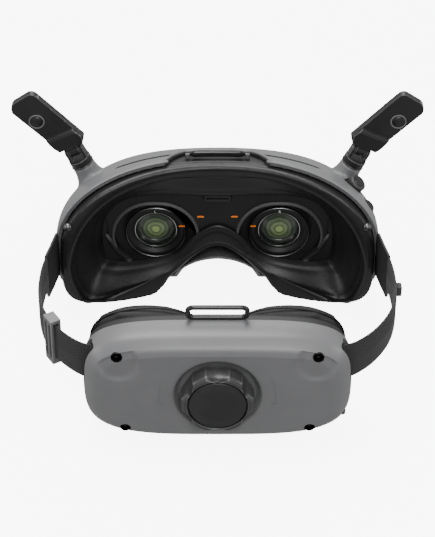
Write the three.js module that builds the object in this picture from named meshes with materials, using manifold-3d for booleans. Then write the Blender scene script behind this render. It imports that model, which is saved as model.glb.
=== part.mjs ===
// FPV goggles with a head strap and a rear battery pack.
// Millimetres. +Z is up, +Y is the way the wearer looks, and X = 0 is the plane of symmetry.
// The origin is on the resting plane, midway between the goggles' front and the knob's face.
import * as THREE from 'three';
import { mergeVertices } from 'three/addons/utils/BufferGeometryUtils.js';
import Module from 'manifold-3d';

const wasm = await Module();
wasm.setup();

// ---- Driving dimensions ----
const GAP = 0.3;
const SIDES = [{ name: 'left', side: -1 }, { name: 'right', side: 1 }];

const shell = { wall: 2.2, frontY: 97.5, rimY: 36, rimCurve: 21, rimAt: 78, points: 40 };
const nose = { rearY: 14, frontY: 68, halfWidth: 33, height: 23.5, taper: 0.66, wall: 1.6 };
const topSlope = THREE.MathUtils.degToRad(-26);
const vent = { length: 30, width: 4.6, x: 37, y: 44, z: 75.2 };
const tray = { y: 46, z: 77.6, rearHalf: 22, frontHalf: 13, length: 19, depth: 3.4, wall: 1.2 };

const topBar = { half: 13.2, reach: 5, thickness: 1.6, y: 1.5 };

const eye = { x: 32, z: 31, rearY: 43, frontY: 63, flangeR: 15.5, boreR: 11.2, shroudR: 21.6, travel: 4 };
const panel = { y: 39, thickness: 2, holeR: 19.5 };
const ipdKnob = { y: 53, r: 5, low: 0.8, high: 6.2 };

const antenna = { lean: THREE.MathUtils.degToRad(25.5), splay: THREE.MathUtils.degToRad(13.3) };
const collar = { x: 68.8, y: 53, z: 67.4, r: 5.8, height: 4.2, earHeight: 4.6, pinR: 1 };
const blade = { width: 15.5, length: 39.5, thickness: 4.2, cornerR: 4, skirt: 3.6 };

const stick = { x: 69.5, y: 41, z: 62, r: 4.6 };
const backButton = { x: 75.2, y: 31.5, z: 55, r: 3.8 };

const pack = { halfWidth: 63, height: 62, edgeY: -68, rearY: -85.3, wall: 1.8, points: 36, knobZ: 30 };
const dish = { outerR: 20.5, floorR: 18.2, floorY: -81, holeR: 3.5 };
const knob = { r: 17.3, scallop: 2.3, lobes: 6, rearY: -92.6, frontY: -82, capR: 13.6, shaftR: 3 };
const pinion = { teeth: 12, module: 1, rearY: -77.2, frontY: -72.4, pressure: THREE.MathUtils.degToRad(20) };
const mouth = { low: 30.5, high: 53.5, rearY: -78.4, frontY: -70.6 };
const screwPlaces = [
  { name: 'pack_screw_upper_left', x: -46.4, z: 52 }, { name: 'pack_screw_upper_right', x: 46.4, z: 52 },
  { name: 'pack_screw_lower_left', x: -43.4, z: 10 }, { name: 'pack_screw_lower_right', x: 43.4, z: 10 },
];
const rearLoop = { width: 30, height: 11, holeWidth: 25, holeHeight: 6.2, y: -68.6, z: 66.4, tilt: 0.35 };
const strap = { thickness: 1.8, halfWidth: 10, endHalfWidth: 13, z: 42, steps: 26 };

// ---- Materials: colour, roughness, metalness ----
const finishes = {
  shellGrey: [0x8a8b8d, 0.45, 0], blackMatte: [0x1c1c1e, 0.7, 0], blackGloss: [0x101114, 0.15, 0],
  foamBlack: [0x2a2a2c, 0.9, 0], webbing: [0x3a3a3c, 0.95, 0], antennaBlack: [0x242527, 0.5, 0],
  chrome: [0xc8cacc, 0.15, 1], steel: [0x8c8f92, 0.35, 1], aluminium: [0xa6a8aa, 0.4, 1],
  glass: [0x4c5a40, 0.05, 0], board: [0x14512c, 0.6, 0], cell: [0x2d4f86, 0.6, 0],
  buckleGrey: [0x77787a, 0.5, 0], knobBlack: [0x1f2022, 0.6, 0],
};

const object = new THREE.Group();
object.position.y = -(shell.frontY + knob.rearY) / 2;

function addMesh(parent, name, geometry, finish) {
  const [color, roughness, metalness] = finishes[finish];
  const mesh = new THREE.Mesh(geometry, new THREE.MeshStandardMaterial({ color, roughness, metalness }));
  mesh.name = name;
  parent.add(mesh);
  return mesh;
}

// ---- Solid tools ----
function toSolid(geometry) {
  const bare = geometry.index ? geometry.toNonIndexed() : geometry.clone();
  bare.deleteAttribute('normal');
  bare.deleteAttribute('uv');
  const merged = mergeVertices(bare, 1e-4);
  const vertProperties = new Float32Array(merged.attributes.position.array);
  const triVerts = new Uint32Array(merged.index.array);
  return new wasm.Manifold(new wasm.Mesh({ numProp: 3, vertProperties, triVerts }));
}

function fromSolid(solid) {
  const mesh = solid.getMesh();
  const geometry = new THREE.BufferGeometry();
  geometry.setAttribute('position', new THREE.BufferAttribute(new Float32Array(mesh.vertProperties), 3));
  geometry.setIndex(new THREE.BufferAttribute(new Uint32Array(mesh.triVerts), 1));
  geometry.computeVertexNormals();
  return geometry;
}

function combine(base, { add = [], subtract = [], clip = null }) {
  let solid = toSolid(base);
  for (const piece of add) solid = solid.add(toSolid(piece));
  if (clip) solid = solid.intersect(toSolid(clip));
  for (const piece of subtract) solid = solid.subtract(toSolid(piece));
  return fromSolid(solid);
}

const moved = (geometry, x, y, z) => geometry.clone().translate(x, y, z);

function mirroredX(geometry) {
  const copy = geometry.index ? geometry.toNonIndexed() : geometry.clone();
  copy.scale(-1, 1, 1);
  const positions = copy.attributes.position;
  for (let i = 0; i < positions.count; i += 3) {
    const kept = [positions.getX(i), positions.getY(i), positions.getZ(i)];
    positions.setXYZ(i, positions.getX(i + 1), positions.getY(i + 1), positions.getZ(i + 1));
    positions.setXYZ(i + 1, ...kept);
  }
  return copy;
}

const sided = (geometry, side) => (side < 0 ? geometry : mirroredX(geometry));

// A closed skin over rings of equal length. The rings run either round to the first again, or end to end
// with a flat fan at each end.
function skin(rings, closesOnItself) {
  const count = rings[0].length;
  const positions = rings.flat().flatMap((p) => [p.x, p.y, p.z]);
  const index = [];
  const pairs = closesOnItself ? rings.length : rings.length - 1;
  for (let r = 0; r < pairs; r += 1) {
    const here = r * count;
    const next = ((r + 1) % rings.length) * count;
    for (let i = 0; i < count; i += 1) {
      const j = (i + 1) % count;
      index.push(here + i, here + j, next + j, here + i, next + j, next + i);
    }
  }
  const fan = (ring, offset, flipped) => {
    const centre = positions.length / 3;
    const middle = ring.reduce((sum, p) => sum.add(p), new THREE.Vector3()).divideScalar(count);
    positions.push(middle.x, middle.y, middle.z);
    for (let i = 0; i < count; i += 1) {
      const j = (i + 1) % count;
      index.push(...(flipped ? [centre, offset + j, offset + i] : [centre, offset + i, offset + j]));
    }
  };
  if (!closesOnItself) {
    fan(rings[0], 0, true);
    fan(rings[rings.length - 1], (rings.length - 1) * count, false);
  }
  const geometry = new THREE.BufferGeometry();
  geometry.setAttribute('position', new THREE.Float32BufferAttribute(positions, 3));
  geometry.setIndex(index);
  if (signedVolume(geometry) < 0) geometry.setIndex(index.slice().reverse());
  geometry.computeVertexNormals();
  return geometry;
}

function signedVolume(geometry) {
  const p = geometry.attributes.position;
  const corner = (k) => new THREE.Vector3().fromBufferAttribute(p, geometry.index.getX(k));
  let sum = 0;
  for (let k = 0; k < geometry.index.count; k += 3) sum += corner(k).dot(corner(k + 1).cross(corner(k + 2)));
  return sum / 6;
}

function roundedRect(width, height, radius, target = new THREE.Shape()) {
  const [w, h] = [width / 2, height / 2];
  target.moveTo(-w + radius, -h);
  target.lineTo(w - radius, -h);
  target.absarc(w - radius, -h + radius, radius, -Math.PI / 2, 0);
  target.lineTo(w, h - radius);
  target.absarc(w - radius, h - radius, radius, 0, Math.PI / 2);
  target.lineTo(-w + radius, h);
  target.absarc(-w + radius, h - radius, radius, Math.PI / 2, Math.PI);
  target.lineTo(-w, -h + radius);
  target.absarc(-w + radius, -h + radius, radius, Math.PI, Math.PI * 1.5);
  target.closePath();
  return target;
}

const extruded = (shape, depth, curveSegments = 5) => (
  new THREE.ExtrudeGeometry(shape, { depth, bevelEnabled: false, curveSegments }));

// A flat shape drawn in X and Z, made solid from y0 to y1.
const slabY = (shape, y0, y1, segments) => (
  extruded(shape, y1 - y0, segments).rotateX(Math.PI / 2).translate(0, y1, 0));

// A lathe profile given as [radius, y] pairs, turned about the Y axis.
const turnedY = (profile, segments) => (
  new THREE.LatheGeometry(profile.map(([r, y]) => new THREE.Vector2(r, y)), segments));

const rodY = (r, y0, y1, segments = 20) => turnedY([[0, y0], [r, y0], [r, y1], [0, y1]], segments);
const rodZ = (r, z0, z1, segments = 20) => rodY(r, z0, z1, segments).rotateX(Math.PI / 2);
const block = (w, d, h, x, y, z) => new THREE.BoxGeometry(w, d, h).translate(x, y, z);

// ---- Goggles shell ----
const stations = [
  { y: shell.rimY, curve: shell.rimCurve, half: 81, top: 81.5 },
  { y: shell.rimY + 9, curve: 21, half: 82, top: 79 },
  { y: 62, curve: 19, half: 81.5, top: 70 },
  { y: 82, curve: 14, half: 75.5, top: 58 },
  { y: 94.5, curve: 8.5, half: 67, top: 49.5 },
  { y: shell.frontY, curve: 7, half: 61.5, top: 45 },
];
const SHELL_BELT = 0.43;
const BOTTOM_RIM_SETBACK = 11;

// One cross-section of the shell: broad round shoulders above the belt and tight corners below it.
function shellRing(station, inset, lift = 0) {
  const ring = [];
  const belt = station.top * SHELL_BELT;
  for (let i = 0; i < shell.points; i += 1) {
    const t = (i / shell.points) * 2 * Math.PI;
    const [c, s] = [Math.cos(t), Math.sin(t)];
    const squareness = s > 0 ? 2.9 : 4.2;
    const reach = s > 0 ? station.top - belt - inset : belt - inset;
    const x = (station.half - inset) * Math.sign(c) * Math.abs(c) ** (2 / squareness);
    const z = belt + reach * Math.sign(s) * Math.abs(s) ** (2 / squareness);
    const low = THREE.MathUtils.smoothstep(belt - z, 0, belt);
    const y = station.y + lift * low - station.curve * (x / shell.rimAt) ** 2;
    ring.push(new THREE.Vector3(x, y, z));
  }
  return ring;
}

const NOSE_STEPS = 14;

// The notch under the bridge of the nose: an arch that narrows towards the front.
function noseTunnel(grow) {
  const rings = [0, 0.35, 0.7, 1].map((f) => {
    const half = nose.halfWidth * (1 - f * nose.taper) + grow;
    const high = nose.height * (1 - f * nose.taper) + grow;
    const y = nose.rearY + (nose.frontY - nose.rearY) * f + (f === 1 ? grow : 0);
    const ring = [];
    for (let i = 0; i <= NOSE_STEPS; i += 1) {
      const t = Math.PI * (i / NOSE_STEPS);
      ring.push(new THREE.Vector3(half * Math.cos(t), y, high * Math.sin(t) ** 1.4));
    }
    ring.push(new THREE.Vector3(-half, y, -4), new THREE.Vector3(half, y, -4));
    return ring;
  });
  return skin(rings, false);
}

// The grey horn that carries an antenna collar, drawn on the left and leaning outward.
function antennaHorn() {
  const horn = turnedY([[0, -20], [12.5, -20], [9.4, -9], [7, -3.4], [collar.r, 0], [0, 0]], 28);
  return horn.rotateX(Math.PI / 2).rotateY(-antenna.lean).translate(-collar.x, collar.y, collar.z);
}

function slopedCut(shape, depth, x, y, z) {
  return extruded(shape, depth, 4).translate(0, 0, -depth / 2).rotateX(topSlope).translate(x, y, z);
}

function trayShape(grow) {
  const [rear, front, half] = [tray.rearHalf + grow, tray.frontHalf + grow, tray.length / 2 + grow];
  const shape = new THREE.Shape();
  shape.moveTo(-rear, -half);
  shape.lineTo(rear, -half);
  shape.lineTo(front, half);
  shape.lineTo(-front, half);
  shape.closePath();
  return shape;
}

const VENT_TURN = 0.16;
const VENT_ROLL = 0.1;
const ventPlaced = (geometry, side) => geometry.rotateZ(-side * VENT_TURN).rotateX(topSlope)
  .rotateY(side * VENT_ROLL).translate(side * vent.x, vent.y, vent.z);

const ventOutline = (inset) => (
  roundedRect(vent.length - 2 * inset, vent.width - 2 * inset, vent.width / 2 - inset - 0.01));

function ventCut(side, depth) {
  return ventPlaced(extruded(ventOutline(0), depth, 3).translate(0, 0, -depth / 2), side);
}

const stickTilt = new THREE.Euler(THREE.MathUtils.degToRad(12), THREE.MathUtils.degToRad(38), 0);
const tilted = (geometry, place) => geometry
  .applyMatrix4(new THREE.Matrix4().makeRotationFromEuler(stickTilt)).translate(place.x, place.y, place.z);

const floorOpening = { halfWidth: 48, rearY: 72.5, frontY: 88 };

function mainShell() {
  const outer = stations.map((s, i) => shellRing(s, 0, i < 2 ? BOTTOM_RIM_SETBACK : 0));
  const lip = shellRing({ ...stations[5], half: 56, top: 41.5 }, 0, 0).map((p) => p.setZ(p.z + 2.6));
  const lipInside = lip.map((p) => new THREE.Vector3(p.x, p.y - shell.wall, p.z));
  const inner = stations.slice(0, 5).reverse()
    .map((s, i) => shellRing({ ...s, y: s.y - (i === 0 ? shell.wall : 0) }, shell.wall,
      i > 2 ? BOTTOM_RIM_SETBACK : 0));
  const hull = skin([...outer, lip, lipInside, ...inner], true);
  const solidOuter = skin(outer, false);
  const noseWall = fromSolid(toSolid(noseTunnel(nose.wall)).intersect(toSolid(solidOuter)));
  const horns = [antennaHorn(), mirroredX(antennaHorn())];
  const wells = [
    tilted(rodZ(stick.r + 1.1, -9, 8, 24), stick), tilted(rodZ(backButton.r + GAP, -7, 7, 24), backButton),
  ];
  const floorHole = block(2 * floorOpening.halfWidth, floorOpening.frontY - floorOpening.rearY, 8,
    0, (floorOpening.frontY + floorOpening.rearY) / 2, 1);
  const knobSlots = SIDES.map(({ side }) => {
    const slot = roundedRect(2 * (ipdKnob.r + eye.travel + 0.8), 2 * (ipdKnob.r + 0.8), ipdKnob.r);
    return extruded(slot, 8).translate(side * eye.x, ipdKnob.y, -3);
  });
  const vents = SIDES.map(({ side }) => ventCut(side, 14));
  const bar = slopedCut(trayShape(GAP), 14, 0, tray.y, tray.z);
  return combine(hull, {
    add: [noseWall, ...horns],
    subtract: [noseTunnel(0), ...wells, floorHole, ...knobSlots, ...vents, bar],
  });
}

const COVER_RECESS = 4.6;

// The visor that fills the shell's front opening, with a chamfered edge.
function frontCover() {
  const rings = [[0, 0], [2.6, 0], [4.4, 2.5]].map(([forward, inset]) => {
    const y = shell.frontY - COVER_RECESS + forward;
    const station = { ...stations[5], y, half: 55.4 - inset, top: 40.9 - inset };
    return shellRing(station, 0).map((p) => p.setZ(p.z + 2.9 + inset / 2));
  });
  return skin(rings, false);
}

// A dark mesh insert that fills one vent slot, with a row of slits through it.
function ventGrille(side) {
  const slits = [];
  const count = 7;
  const pitch = 3.7;
  for (let i = 0; i < count; i += 1) slits.push(block(1.6, 1.5, 6, (i - (count - 1) / 2) * pitch, 0, 0));
  const plate = extruded(ventOutline(GAP), 2.2, 3).translate(0, 0, -1.1);
  return ventPlaced(combine(plate, { subtract: slits }), side);
}

function topTray() {
  const body = extruded(trayShape(0), tray.depth);
  const pocket = extruded(trayShape(-tray.wall), tray.depth);
  const floor = 1.2;
  const geometry = combine(body, { subtract: [moved(pocket, 0, 0, floor)] });
  return geometry.translate(0, 0, -tray.depth).rotateX(topSlope).translate(0, tray.y, tray.z);
}

// A flat bar that arches over the recess and goes down into it at each end.
function topStrapBar() {
  const { half, reach, thickness } = topBar;
  const arch = new THREE.CatmullRomCurve3([
    new THREE.Vector3(-half, 0, -1.8), new THREE.Vector3(-half + 0.4, 0, 0),
    new THREE.Vector3(-half + 2.2, 0, 1.6), new THREE.Vector3(0, 0, 2),
    new THREE.Vector3(half - 2.2, 0, 1.6), new THREE.Vector3(half - 0.4, 0, 0),
    new THREE.Vector3(half, 0, -1.8),
  ]);
  const rings = arch.getPoints(24).map((p, i, all) => {
    const along = arch.getTangent(i / (all.length - 1));
    const out = new THREE.Vector3(-along.z, 0, along.x).multiplyScalar(thickness / 2);
    return [[-1, -1], [-1, 1], [1, 1], [1, -1]].map(([across, up]) => (
      p.clone().addScaledVector(out, up).setY(topBar.y + (across * reach) / 2)));
  });
  return skin(rings, false).rotateX(topSlope).translate(0, tray.y, tray.z);
}

// ---- Face frame and foam: a funnel from the face's outline to the lens panel ----
const faceOutline = [
  [0, 33.5, 77.4], [28, 30, 77.4], [54, 21, 71], [70.5, 13, 57.5], [78, 8.5, 37], [75.5, 11, 16],
  [67, 15, 2.8], [47, 22, 4.6], [27, 30.2, 10], [12.5, 35.6, 20.5], [0, 37.6, 26],
];
const panelOutline = [
  [0, 38, 61], [28, 38, 61.5], [48, 38, 57.5], [59, 38, 46], [62, 38, 31], [60, 38, 16.5],
  [52, 38, 13.8], [38, 38, 15], [22, 38, 20], [11, 38.5, 31], [0, 39, 37],
];
const FUNNEL_POINTS = 50;

function fullLoop(half) {
  const right = half.map(([x, y, z]) => new THREE.Vector3(x, y, z));
  const left = right.slice(1, -1).reverse().map((p) => new THREE.Vector3(-p.x, p.y, p.z));
  const loop = new THREE.CatmullRomCurve3([...right, ...left], true, 'catmullrom', 0.5);
  const points = [];
  for (let i = 0; i < FUNNEL_POINTS; i += 1) points.push(loop.getPoint(i / FUNNEL_POINTS));
  return points;
}

// The loop moved outward in its X-Z plane and forward along Y. It runs clockwise seen from behind.
function offsetLoop(points, outward, forward) {
  return points.map((p, i) => {
    const along = points[(i + 1) % points.length].clone().sub(points.at(i - 1));
    const normal = new THREE.Vector3(-along.z, 0, along.x).normalize();
    return p.clone().addScaledVector(normal, outward).setY(p.y + forward);
  });
}

const lip = fullLoop(faceOutline);
const seat = fullLoop(panelOutline);
const midway = lip.map((p, i) => p.clone().lerp(seat[i], 0.45));

function faceFoam() {
  return skin([
    offsetLoop(lip, -2, 2.6), offsetLoop(lip, 0.2, 1), offsetLoop(lip, -1.5, -0.8), offsetLoop(lip, -4, 0),
    offsetLoop(midway, 0, -1.5), offsetLoop(seat, 1.5, -2), offsetLoop(seat, 1.5, -0.4),
    offsetLoop(midway, 0, 2.6),
  ], true);
}

function faceFrame() {
  const frame = skin([
    offsetLoop(lip, -2, 3.4), offsetLoop(midway, 0, 4.3), offsetLoop(seat, 1.5, 0.8),
    offsetLoop(seat, 1.5, 1.8), offsetLoop(midway, 0, 5.5), offsetLoop(lip, -2, 4.6),
  ], true);
  return combine(frame, { subtract: [faceFoam().translate(0, GAP, 0)] });
}

function lensPanel() {
  const outline = (points, y) => offsetLoop(points, -1.4, 0).map((p) => p.clone().setY(y));
  const plate = skin([outline(seat, panel.y), outline(seat, panel.y + panel.thickness)], false);
  const holes = SIDES.map(({ side }) => {
    const hole = roundedRect(2 * panel.holeR + 3, 2 * panel.holeR, panel.holeR - 0.01);
    return moved(slabY(hole, panel.y - 4, panel.y + 6, 10), side * eye.x, 0, eye.z + 1);
  });
  const card = slabY(roundedRect(14.6, 4.2, 0.8), panel.y - 4, panel.y + 6, 3).translate(0, 0, 55.5);
  return combine(plate, { subtract: [...holes, card] });
}

// The bezel of the memory card slot, with its body behind the lens panel.
function cardReader() {
  const bezel = slabY(roundedRect(14, 3.6, 0.7), panel.y - 0.8, panel.y + 14, 3);
  const slot = slabY(roundedRect(11.6, 1.1, 0.4), panel.y - 3, panel.y + 12, 2);
  return combine(bezel, { subtract: [slot] }).translate(0, 0, 55.5);
}

// ---- Eyes ----
function lensBarrel() {
  const { rearY, frontY, flangeR, boreR, shroudR } = eye;
  return turnedY([
    [boreR + 2, rearY], [flangeR, rearY], [flangeR, rearY + 2.4], [shroudR, rearY + 0.4],
    [shroudR, rearY + 1.6], [flangeR - 1, rearY + 4], [flangeR - 1, frontY],
    [boreR, frontY], [boreR, rearY + 1.6], [boreR + 2, rearY],
  ], 28);
}

const lensRing = () => turnedY([
  [9.9, 0.6], [11, 0], [11, 5], [9.9, 5], [9.9, 0.6],
], 28);

const lensGlass = () => turnedY([
  [0, 1.2], [3.4, 1.4], [6.6, 2.1], [9.6, 3.4], [9.6, 4.6], [6, 5.8], [0, 6.6],
], 24);

function carriage() {
  const saddle = block(16, 10, 8, 0, ipdKnob.y, 11);
  const under = slabY(new THREE.Shape().absarc(0, 0, eye.flangeR - 1 + GAP, 0, 2 * Math.PI), 40, 70, 20);
  return combine(saddle, { subtract: [moved(under, 0, 0, eye.z)] });
}

function addEye({ name, side }) {
  const group = new THREE.Group();
  group.position.set(side * eye.x, 0, 0);
  object.add(group);
  addMesh(group, `${name}_lens_barrel`, lensBarrel(), 'blackMatte').position.z = eye.z;
  addMesh(group, `${name}_lens_ring`, lensRing(), 'chrome').position.set(0, eye.rearY + 2.4, eye.z);
  addMesh(group, `${name}_lens`, lensGlass(), 'glass').position.set(0, eye.rearY + 2.4, eye.z);
  addMesh(group, `${name}_display`, block(19, 2.4, 19, 0, eye.frontY + 1.6, eye.z), 'blackGloss');
  addMesh(group, `${name}_eye_carriage`, carriage(), 'blackMatte');
  addMesh(group, `${name}_focus_knob`, focusKnob(), 'knobBlack').position.set(0, ipdKnob.y, 0);
}

function focusKnob() {
  const ribs = 14;
  const ring = (z, depth) => {
    const points = [];
    for (let i = 0; i < ribs * 2; i += 1) {
      const t = (i / (ribs * 2)) * 2 * Math.PI;
      const r = ipdKnob.r - (i % 2 ? depth : 0);
      points.push(new THREE.Vector3(r * Math.cos(t), r * Math.sin(t), z));
    }
    return points;
  };
  return skin([ring(ipdKnob.low, 0.3), ring(ipdKnob.high, 0.5)], false);
}

// ---- Inside the shell ----
function fanHousing() {
  const frame = slabY(roundedRect(30, 26, 4), 68.5, 78.5, 4);
  const bore = turnedY([[0, 60], [11.4, 60], [11.4, 77], [0, 77]], 28);
  const inlet = turnedY([[0, 60], [7, 60], [7, 90], [0, 90]], 20);
  return combine(frame, { subtract: [bore, inlet] }).translate(0, 0, 36);
}

function fanRotor() {
  const hub = turnedY([[0, 69.4], [5, 69.4], [5, 75.8], [0, 75.8]], 20);
  const blades = [];
  const count = 7;
  for (let i = 0; i < count; i += 1) {
    const fin = new THREE.BoxGeometry(6.4, 4.6, 0.9).rotateX(0.5).translate(7.6, 72.6, 0);
    blades.push(fin.rotateY((i / count) * 2 * Math.PI));
  }
  return combine(hub, { add: blades }).translate(0, 0, 36);
}

const mainBoard = () => slabY(roundedRect(96, 26, 2), 82.6, 84, 3).translate(0, 0, 21);

function heatSink() {
  const base = block(40, 1.4, 18, 0, 85.4, 21);
  const fins = [];
  for (let i = 0; i < 8; i += 1) fins.push(block(1.2, 3.6, 18, -18.5 + i * (37 / 7), 87.4, 21));
  return combine(base, { add: fins });
}

function baseCover() {
  const [length, depth] = [2 * floorOpening.halfWidth - 0.6, floorOpening.frontY - floorOpening.rearY - 0.6];
  const plate = extruded(roundedRect(length, depth, 1.5), 1.8, 2);
  const slits = [];
  for (let i = -4; i <= 4; i += 1) slits.push(block(1.8, 8, 6, i * 4.4, 0, 0));
  return combine(plate, { subtract: slits })
    .translate(0, (floorOpening.frontY + floorOpening.rearY) / 2, 0);
}

function screw(r, length) {
  return turnedY([
    [0, 0.8], [r * 0.5, 0.8], [r * 0.5, 0], [r, 0], [r, 1.4], [r * 0.5, 1.5], [r * 0.5, length], [0, length],
  ], 14);
}

// ---- Antennas, drawn on the left about the hinge pin's centre ----
const pinAbove = collar.height + collar.earHeight;
const leanGroup = (side) => {
  const group = new THREE.Group();
  group.position.set(side * collar.x, collar.y, collar.z);
  group.rotation.y = side * antenna.lean;
  object.add(group);
  return group;
};

function antennaCollar() {
  const { r, height, earHeight, pinR } = collar;
  const drum = turnedY([[0, GAP], [r - 0.4, GAP], [r, 0.9], [r, height], [0, height]], 28).rotateX(Math.PI / 2);
  const ears = SIDES.map(({ side }) => {
    const profile = new THREE.Shape();
    profile.moveTo(-2.8, height - 1);
    profile.lineTo(2.8, height - 1);
    profile.lineTo(2.8, pinAbove);
    profile.absarc(0, pinAbove, 2.8, 0, Math.PI);
    profile.closePath();
    const ear = extruded(profile, 1.7, 5).rotateX(Math.PI / 2).rotateZ(Math.PI / 2);
    return ear.translate(side * 4 - 0.85, 0, 0);
  });
  const hole = rodY(pinR + 0.15, -8, 8, 14).rotateZ(Math.PI / 2).translate(0, 0, height + earHeight);
  return combine(drum, { add: ears, subtract: [hole] });
}

// The paddle leans outward from its hinge. Its skirt stands proud of the blade at the rear.
function antennaBlade() {
  const { width, length, thickness, cornerR, skirt } = blade;
  const half = width / 2;
  const outline = new THREE.Shape();
  const lean = Math.tan(antenna.splay);
  const edge = (z) => -lean * z;
  const bossAt = 24;
  outline.moveTo(-half + 1, skirt);
  outline.lineTo(half - 1, skirt);
  outline.lineTo(half + 0.6, skirt + 2);
  outline.lineTo(edge(length) + half, length - cornerR);
  outline.quadraticCurveTo(edge(length) + half - 1, length, edge(length) + half - cornerR, length);
  outline.lineTo(edge(length) - half + cornerR + 1, length - 1);
  outline.quadraticCurveTo(edge(length) - half, length - 1, edge(length) - half - 0.6, length - cornerR - 2);
  outline.lineTo(-half, skirt + 2);
  outline.closePath();
  const paddle = slabY(outline, -thickness / 2 + 1.2, thickness / 2 + 1.2, 4);
  const raised = new THREE.Shape();
  raised.moveTo(-half + 1, skirt);
  raised.lineTo(half - 1, skirt);
  raised.lineTo(half + 0.6 - lean * 2, skirt + 4);
  raised.lineTo(half - lean * 9, skirt + 9);
  raised.lineTo(-half - lean * 9, skirt + 9);
  raised.lineTo(-half - lean * 2, skirt + 3);
  raised.closePath();
  const wedge = slabY(raised, -thickness / 2 - 0.9, thickness / 2, 3);
  const shave = block(40, 8, 14, 0, -4, 7).rotateX(-0.5).translate(0, -3.6, skirt + 6.2);
  const proud = fromSolid(toSolid(wedge).subtract(toSolid(shave)));
  const knuckle = extruded(new THREE.Shape().absarc(0, 0, 2.7, 0, 2 * Math.PI), 5.6, 8)
    .rotateY(Math.PI / 2).translate(-2.8, 0, 0);
  const neck = block(5.6, 3.8, 4.6, 0, 0, 2.4);
  const hole = rodY(collar.pinR + 0.15, -8, 8, 14).rotateZ(Math.PI / 2);
  const bump = new THREE.SphereGeometry(3, 14, 8).scale(1, 0.32, 1)
    .translate(edge(bossAt) - 3.2, -thickness / 2 + 1.2, bossAt);
  return combine(paddle, { add: [proud, knuckle, neck, bump], subtract: [hole] });
}

const hingePin = () => rodY(collar.pinR, -4.9, 4.9, 14).rotateZ(Math.PI / 2);

function addAntenna({ name, side }) {
  const group = leanGroup(side);
  addMesh(group, `${name}_antenna_collar`, sided(antennaCollar(), side), 'antennaBlack');
  addMesh(group, `${name}_antenna_blade`, sided(antennaBlade(), side), 'antennaBlack').position.z = pinAbove;
  addMesh(group, `${name}_antenna_pin`, hingePin(), 'steel').position.z = pinAbove;
}

// ---- Controls on the right shoulder ----
function addControls() {
  const group = new THREE.Group();
  group.position.set(stick.x, stick.y, stick.z);
  group.rotation.copy(stickTilt);
  object.add(group);
  const zTurned = (profile, segments = 16) => turnedY(profile, segments).rotateX(Math.PI / 2);
  addMesh(group, 'stick_plunger', zTurned([[0, -7], [2.4, -7], [2.4, -5], [1.3, -5], [1.3, -2.6], [0, -2.6]]),
    'blackMatte');
  addMesh(group, 'stick_gimbal', zTurned([[0, -2.3], [2, -2.3], [2, -0.8], [0, -0.8]]), 'blackMatte');
  addMesh(group, 'stick_cap', zTurned([
    [0, -0.5], [3.4, -0.5], [stick.r, 0.8], [stick.r, 3], [stick.r - 0.8, 3.8], [2.4, 3.2], [0, 3],
  ], 20), 'blackMatte');
  const back = new THREE.Group();
  back.position.set(backButton.x, backButton.y, backButton.z);
  back.rotation.copy(stickTilt);
  object.add(back);
  addMesh(back, 'back_button', zTurned([
    [0, -3], [backButton.r, -3], [backButton.r, 1.6], [backButton.r - 0.7, 2.3], [1.8, 2], [0, 1.9],
  ]), 'blackMatte');
}

// ---- Straps ----
const strapPath = new THREE.CatmullRomCurve3([
  new THREE.Vector3(-80.4, 12.2, 0), new THREE.Vector3(-82.2, 3, 0), new THREE.Vector3(-85.4, -14, 0),
  new THREE.Vector3(-85.6, -32, 0), new THREE.Vector3(-82.2, -48, 0), new THREE.Vector3(-74.4, -62, 0),
  new THREE.Vector3(-65, -71.5, 0), new THREE.Vector3(-57.4, -75, 0),
]);

function strapBand() {
  const rings = [];
  for (let i = 0; i <= strap.steps; i += 1) {
    const f = i / strap.steps;
    const p = strapPath.getPointAt(f);
    const along = strapPath.getTangentAt(f);
    const out = new THREE.Vector3(along.y, -along.x, 0).multiplyScalar(-strap.thickness / 2);
    const flare = THREE.MathUtils.smoothstep(0.2 - f, 0, 0.08);
    const half = THREE.MathUtils.lerp(strap.halfWidth, strap.endHalfWidth, flare);
    const z = strap.z - 2 * flare;
    rings.push([
      p.clone().add(out).setZ(z - half), p.clone().add(out).setZ(z + half),
      p.clone().sub(out).setZ(z + half), p.clone().sub(out).setZ(z - half),
    ]);
  }
  return skin(rings, false);
}

function onStrap(geometry, fraction, outward, z) {
  const p = strapPath.getPointAt(fraction);
  const along = strapPath.getTangentAt(fraction);
  return geometry.rotateZ(Math.atan2(along.y, along.x) + Math.PI / 2)
    .translate(p.x + along.y * outward, p.y - along.x * outward, z);
}

// A tri-glide: a flat frame that goes right round the webbing, with a cross-bar on its outer face.
function strapBuckle() {
  const frame = block(5.4, 7.6, 25.4, 0, 0, 0);
  const tunnel = block(strap.thickness + 0.9, 12, 21.2, 0, 0, 0);
  const windows = [-1, 1].map((end) => block(4, 1.9, 20.4, -2.9, end * 1.8, 0));
  return onStrap(combine(frame, { subtract: [tunnel, ...windows] }), 0.72, 0, strap.z);
}

const strapClip = () => mirroredX(onStrap(block(2.6, 4.4, 5.6, 0, 0, 0), 0.34, 2.6, strap.z + 1));

// A ball stud at the temple, that the strap's sewn end hooks on to.
function strapAnchor() {
  const stud = turnedY([
    [0, -2.2], [1.3, -1.9], [2.1, -0.8], [2.1, 0.7], [1.1, 1.9], [1.1, 4], [0, 4],
  ], 14);
  return stud.translate(-74.4, 12, 57);
}

// ---- Rear battery pack ----
function packRing(inset, y, points = pack.points) {
  const ring = [];
  const mid = pack.height / 2;
  for (let i = 0; i < points; i += 1) {
    const t = (i / points) * 2 * Math.PI;
    const [c, s] = [Math.cos(t), Math.sin(t)];
    const squareness = s > 0 ? 4 : 3.5;
    const x = (pack.halfWidth - inset) * Math.sign(c) * Math.abs(c) ** (2 / squareness);
    const z = mid + (mid - inset) * Math.sign(s) * Math.abs(s) ** (2 / squareness);
    ring.push(new THREE.Vector3(x, y, z));
  }
  return ring;
}

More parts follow.
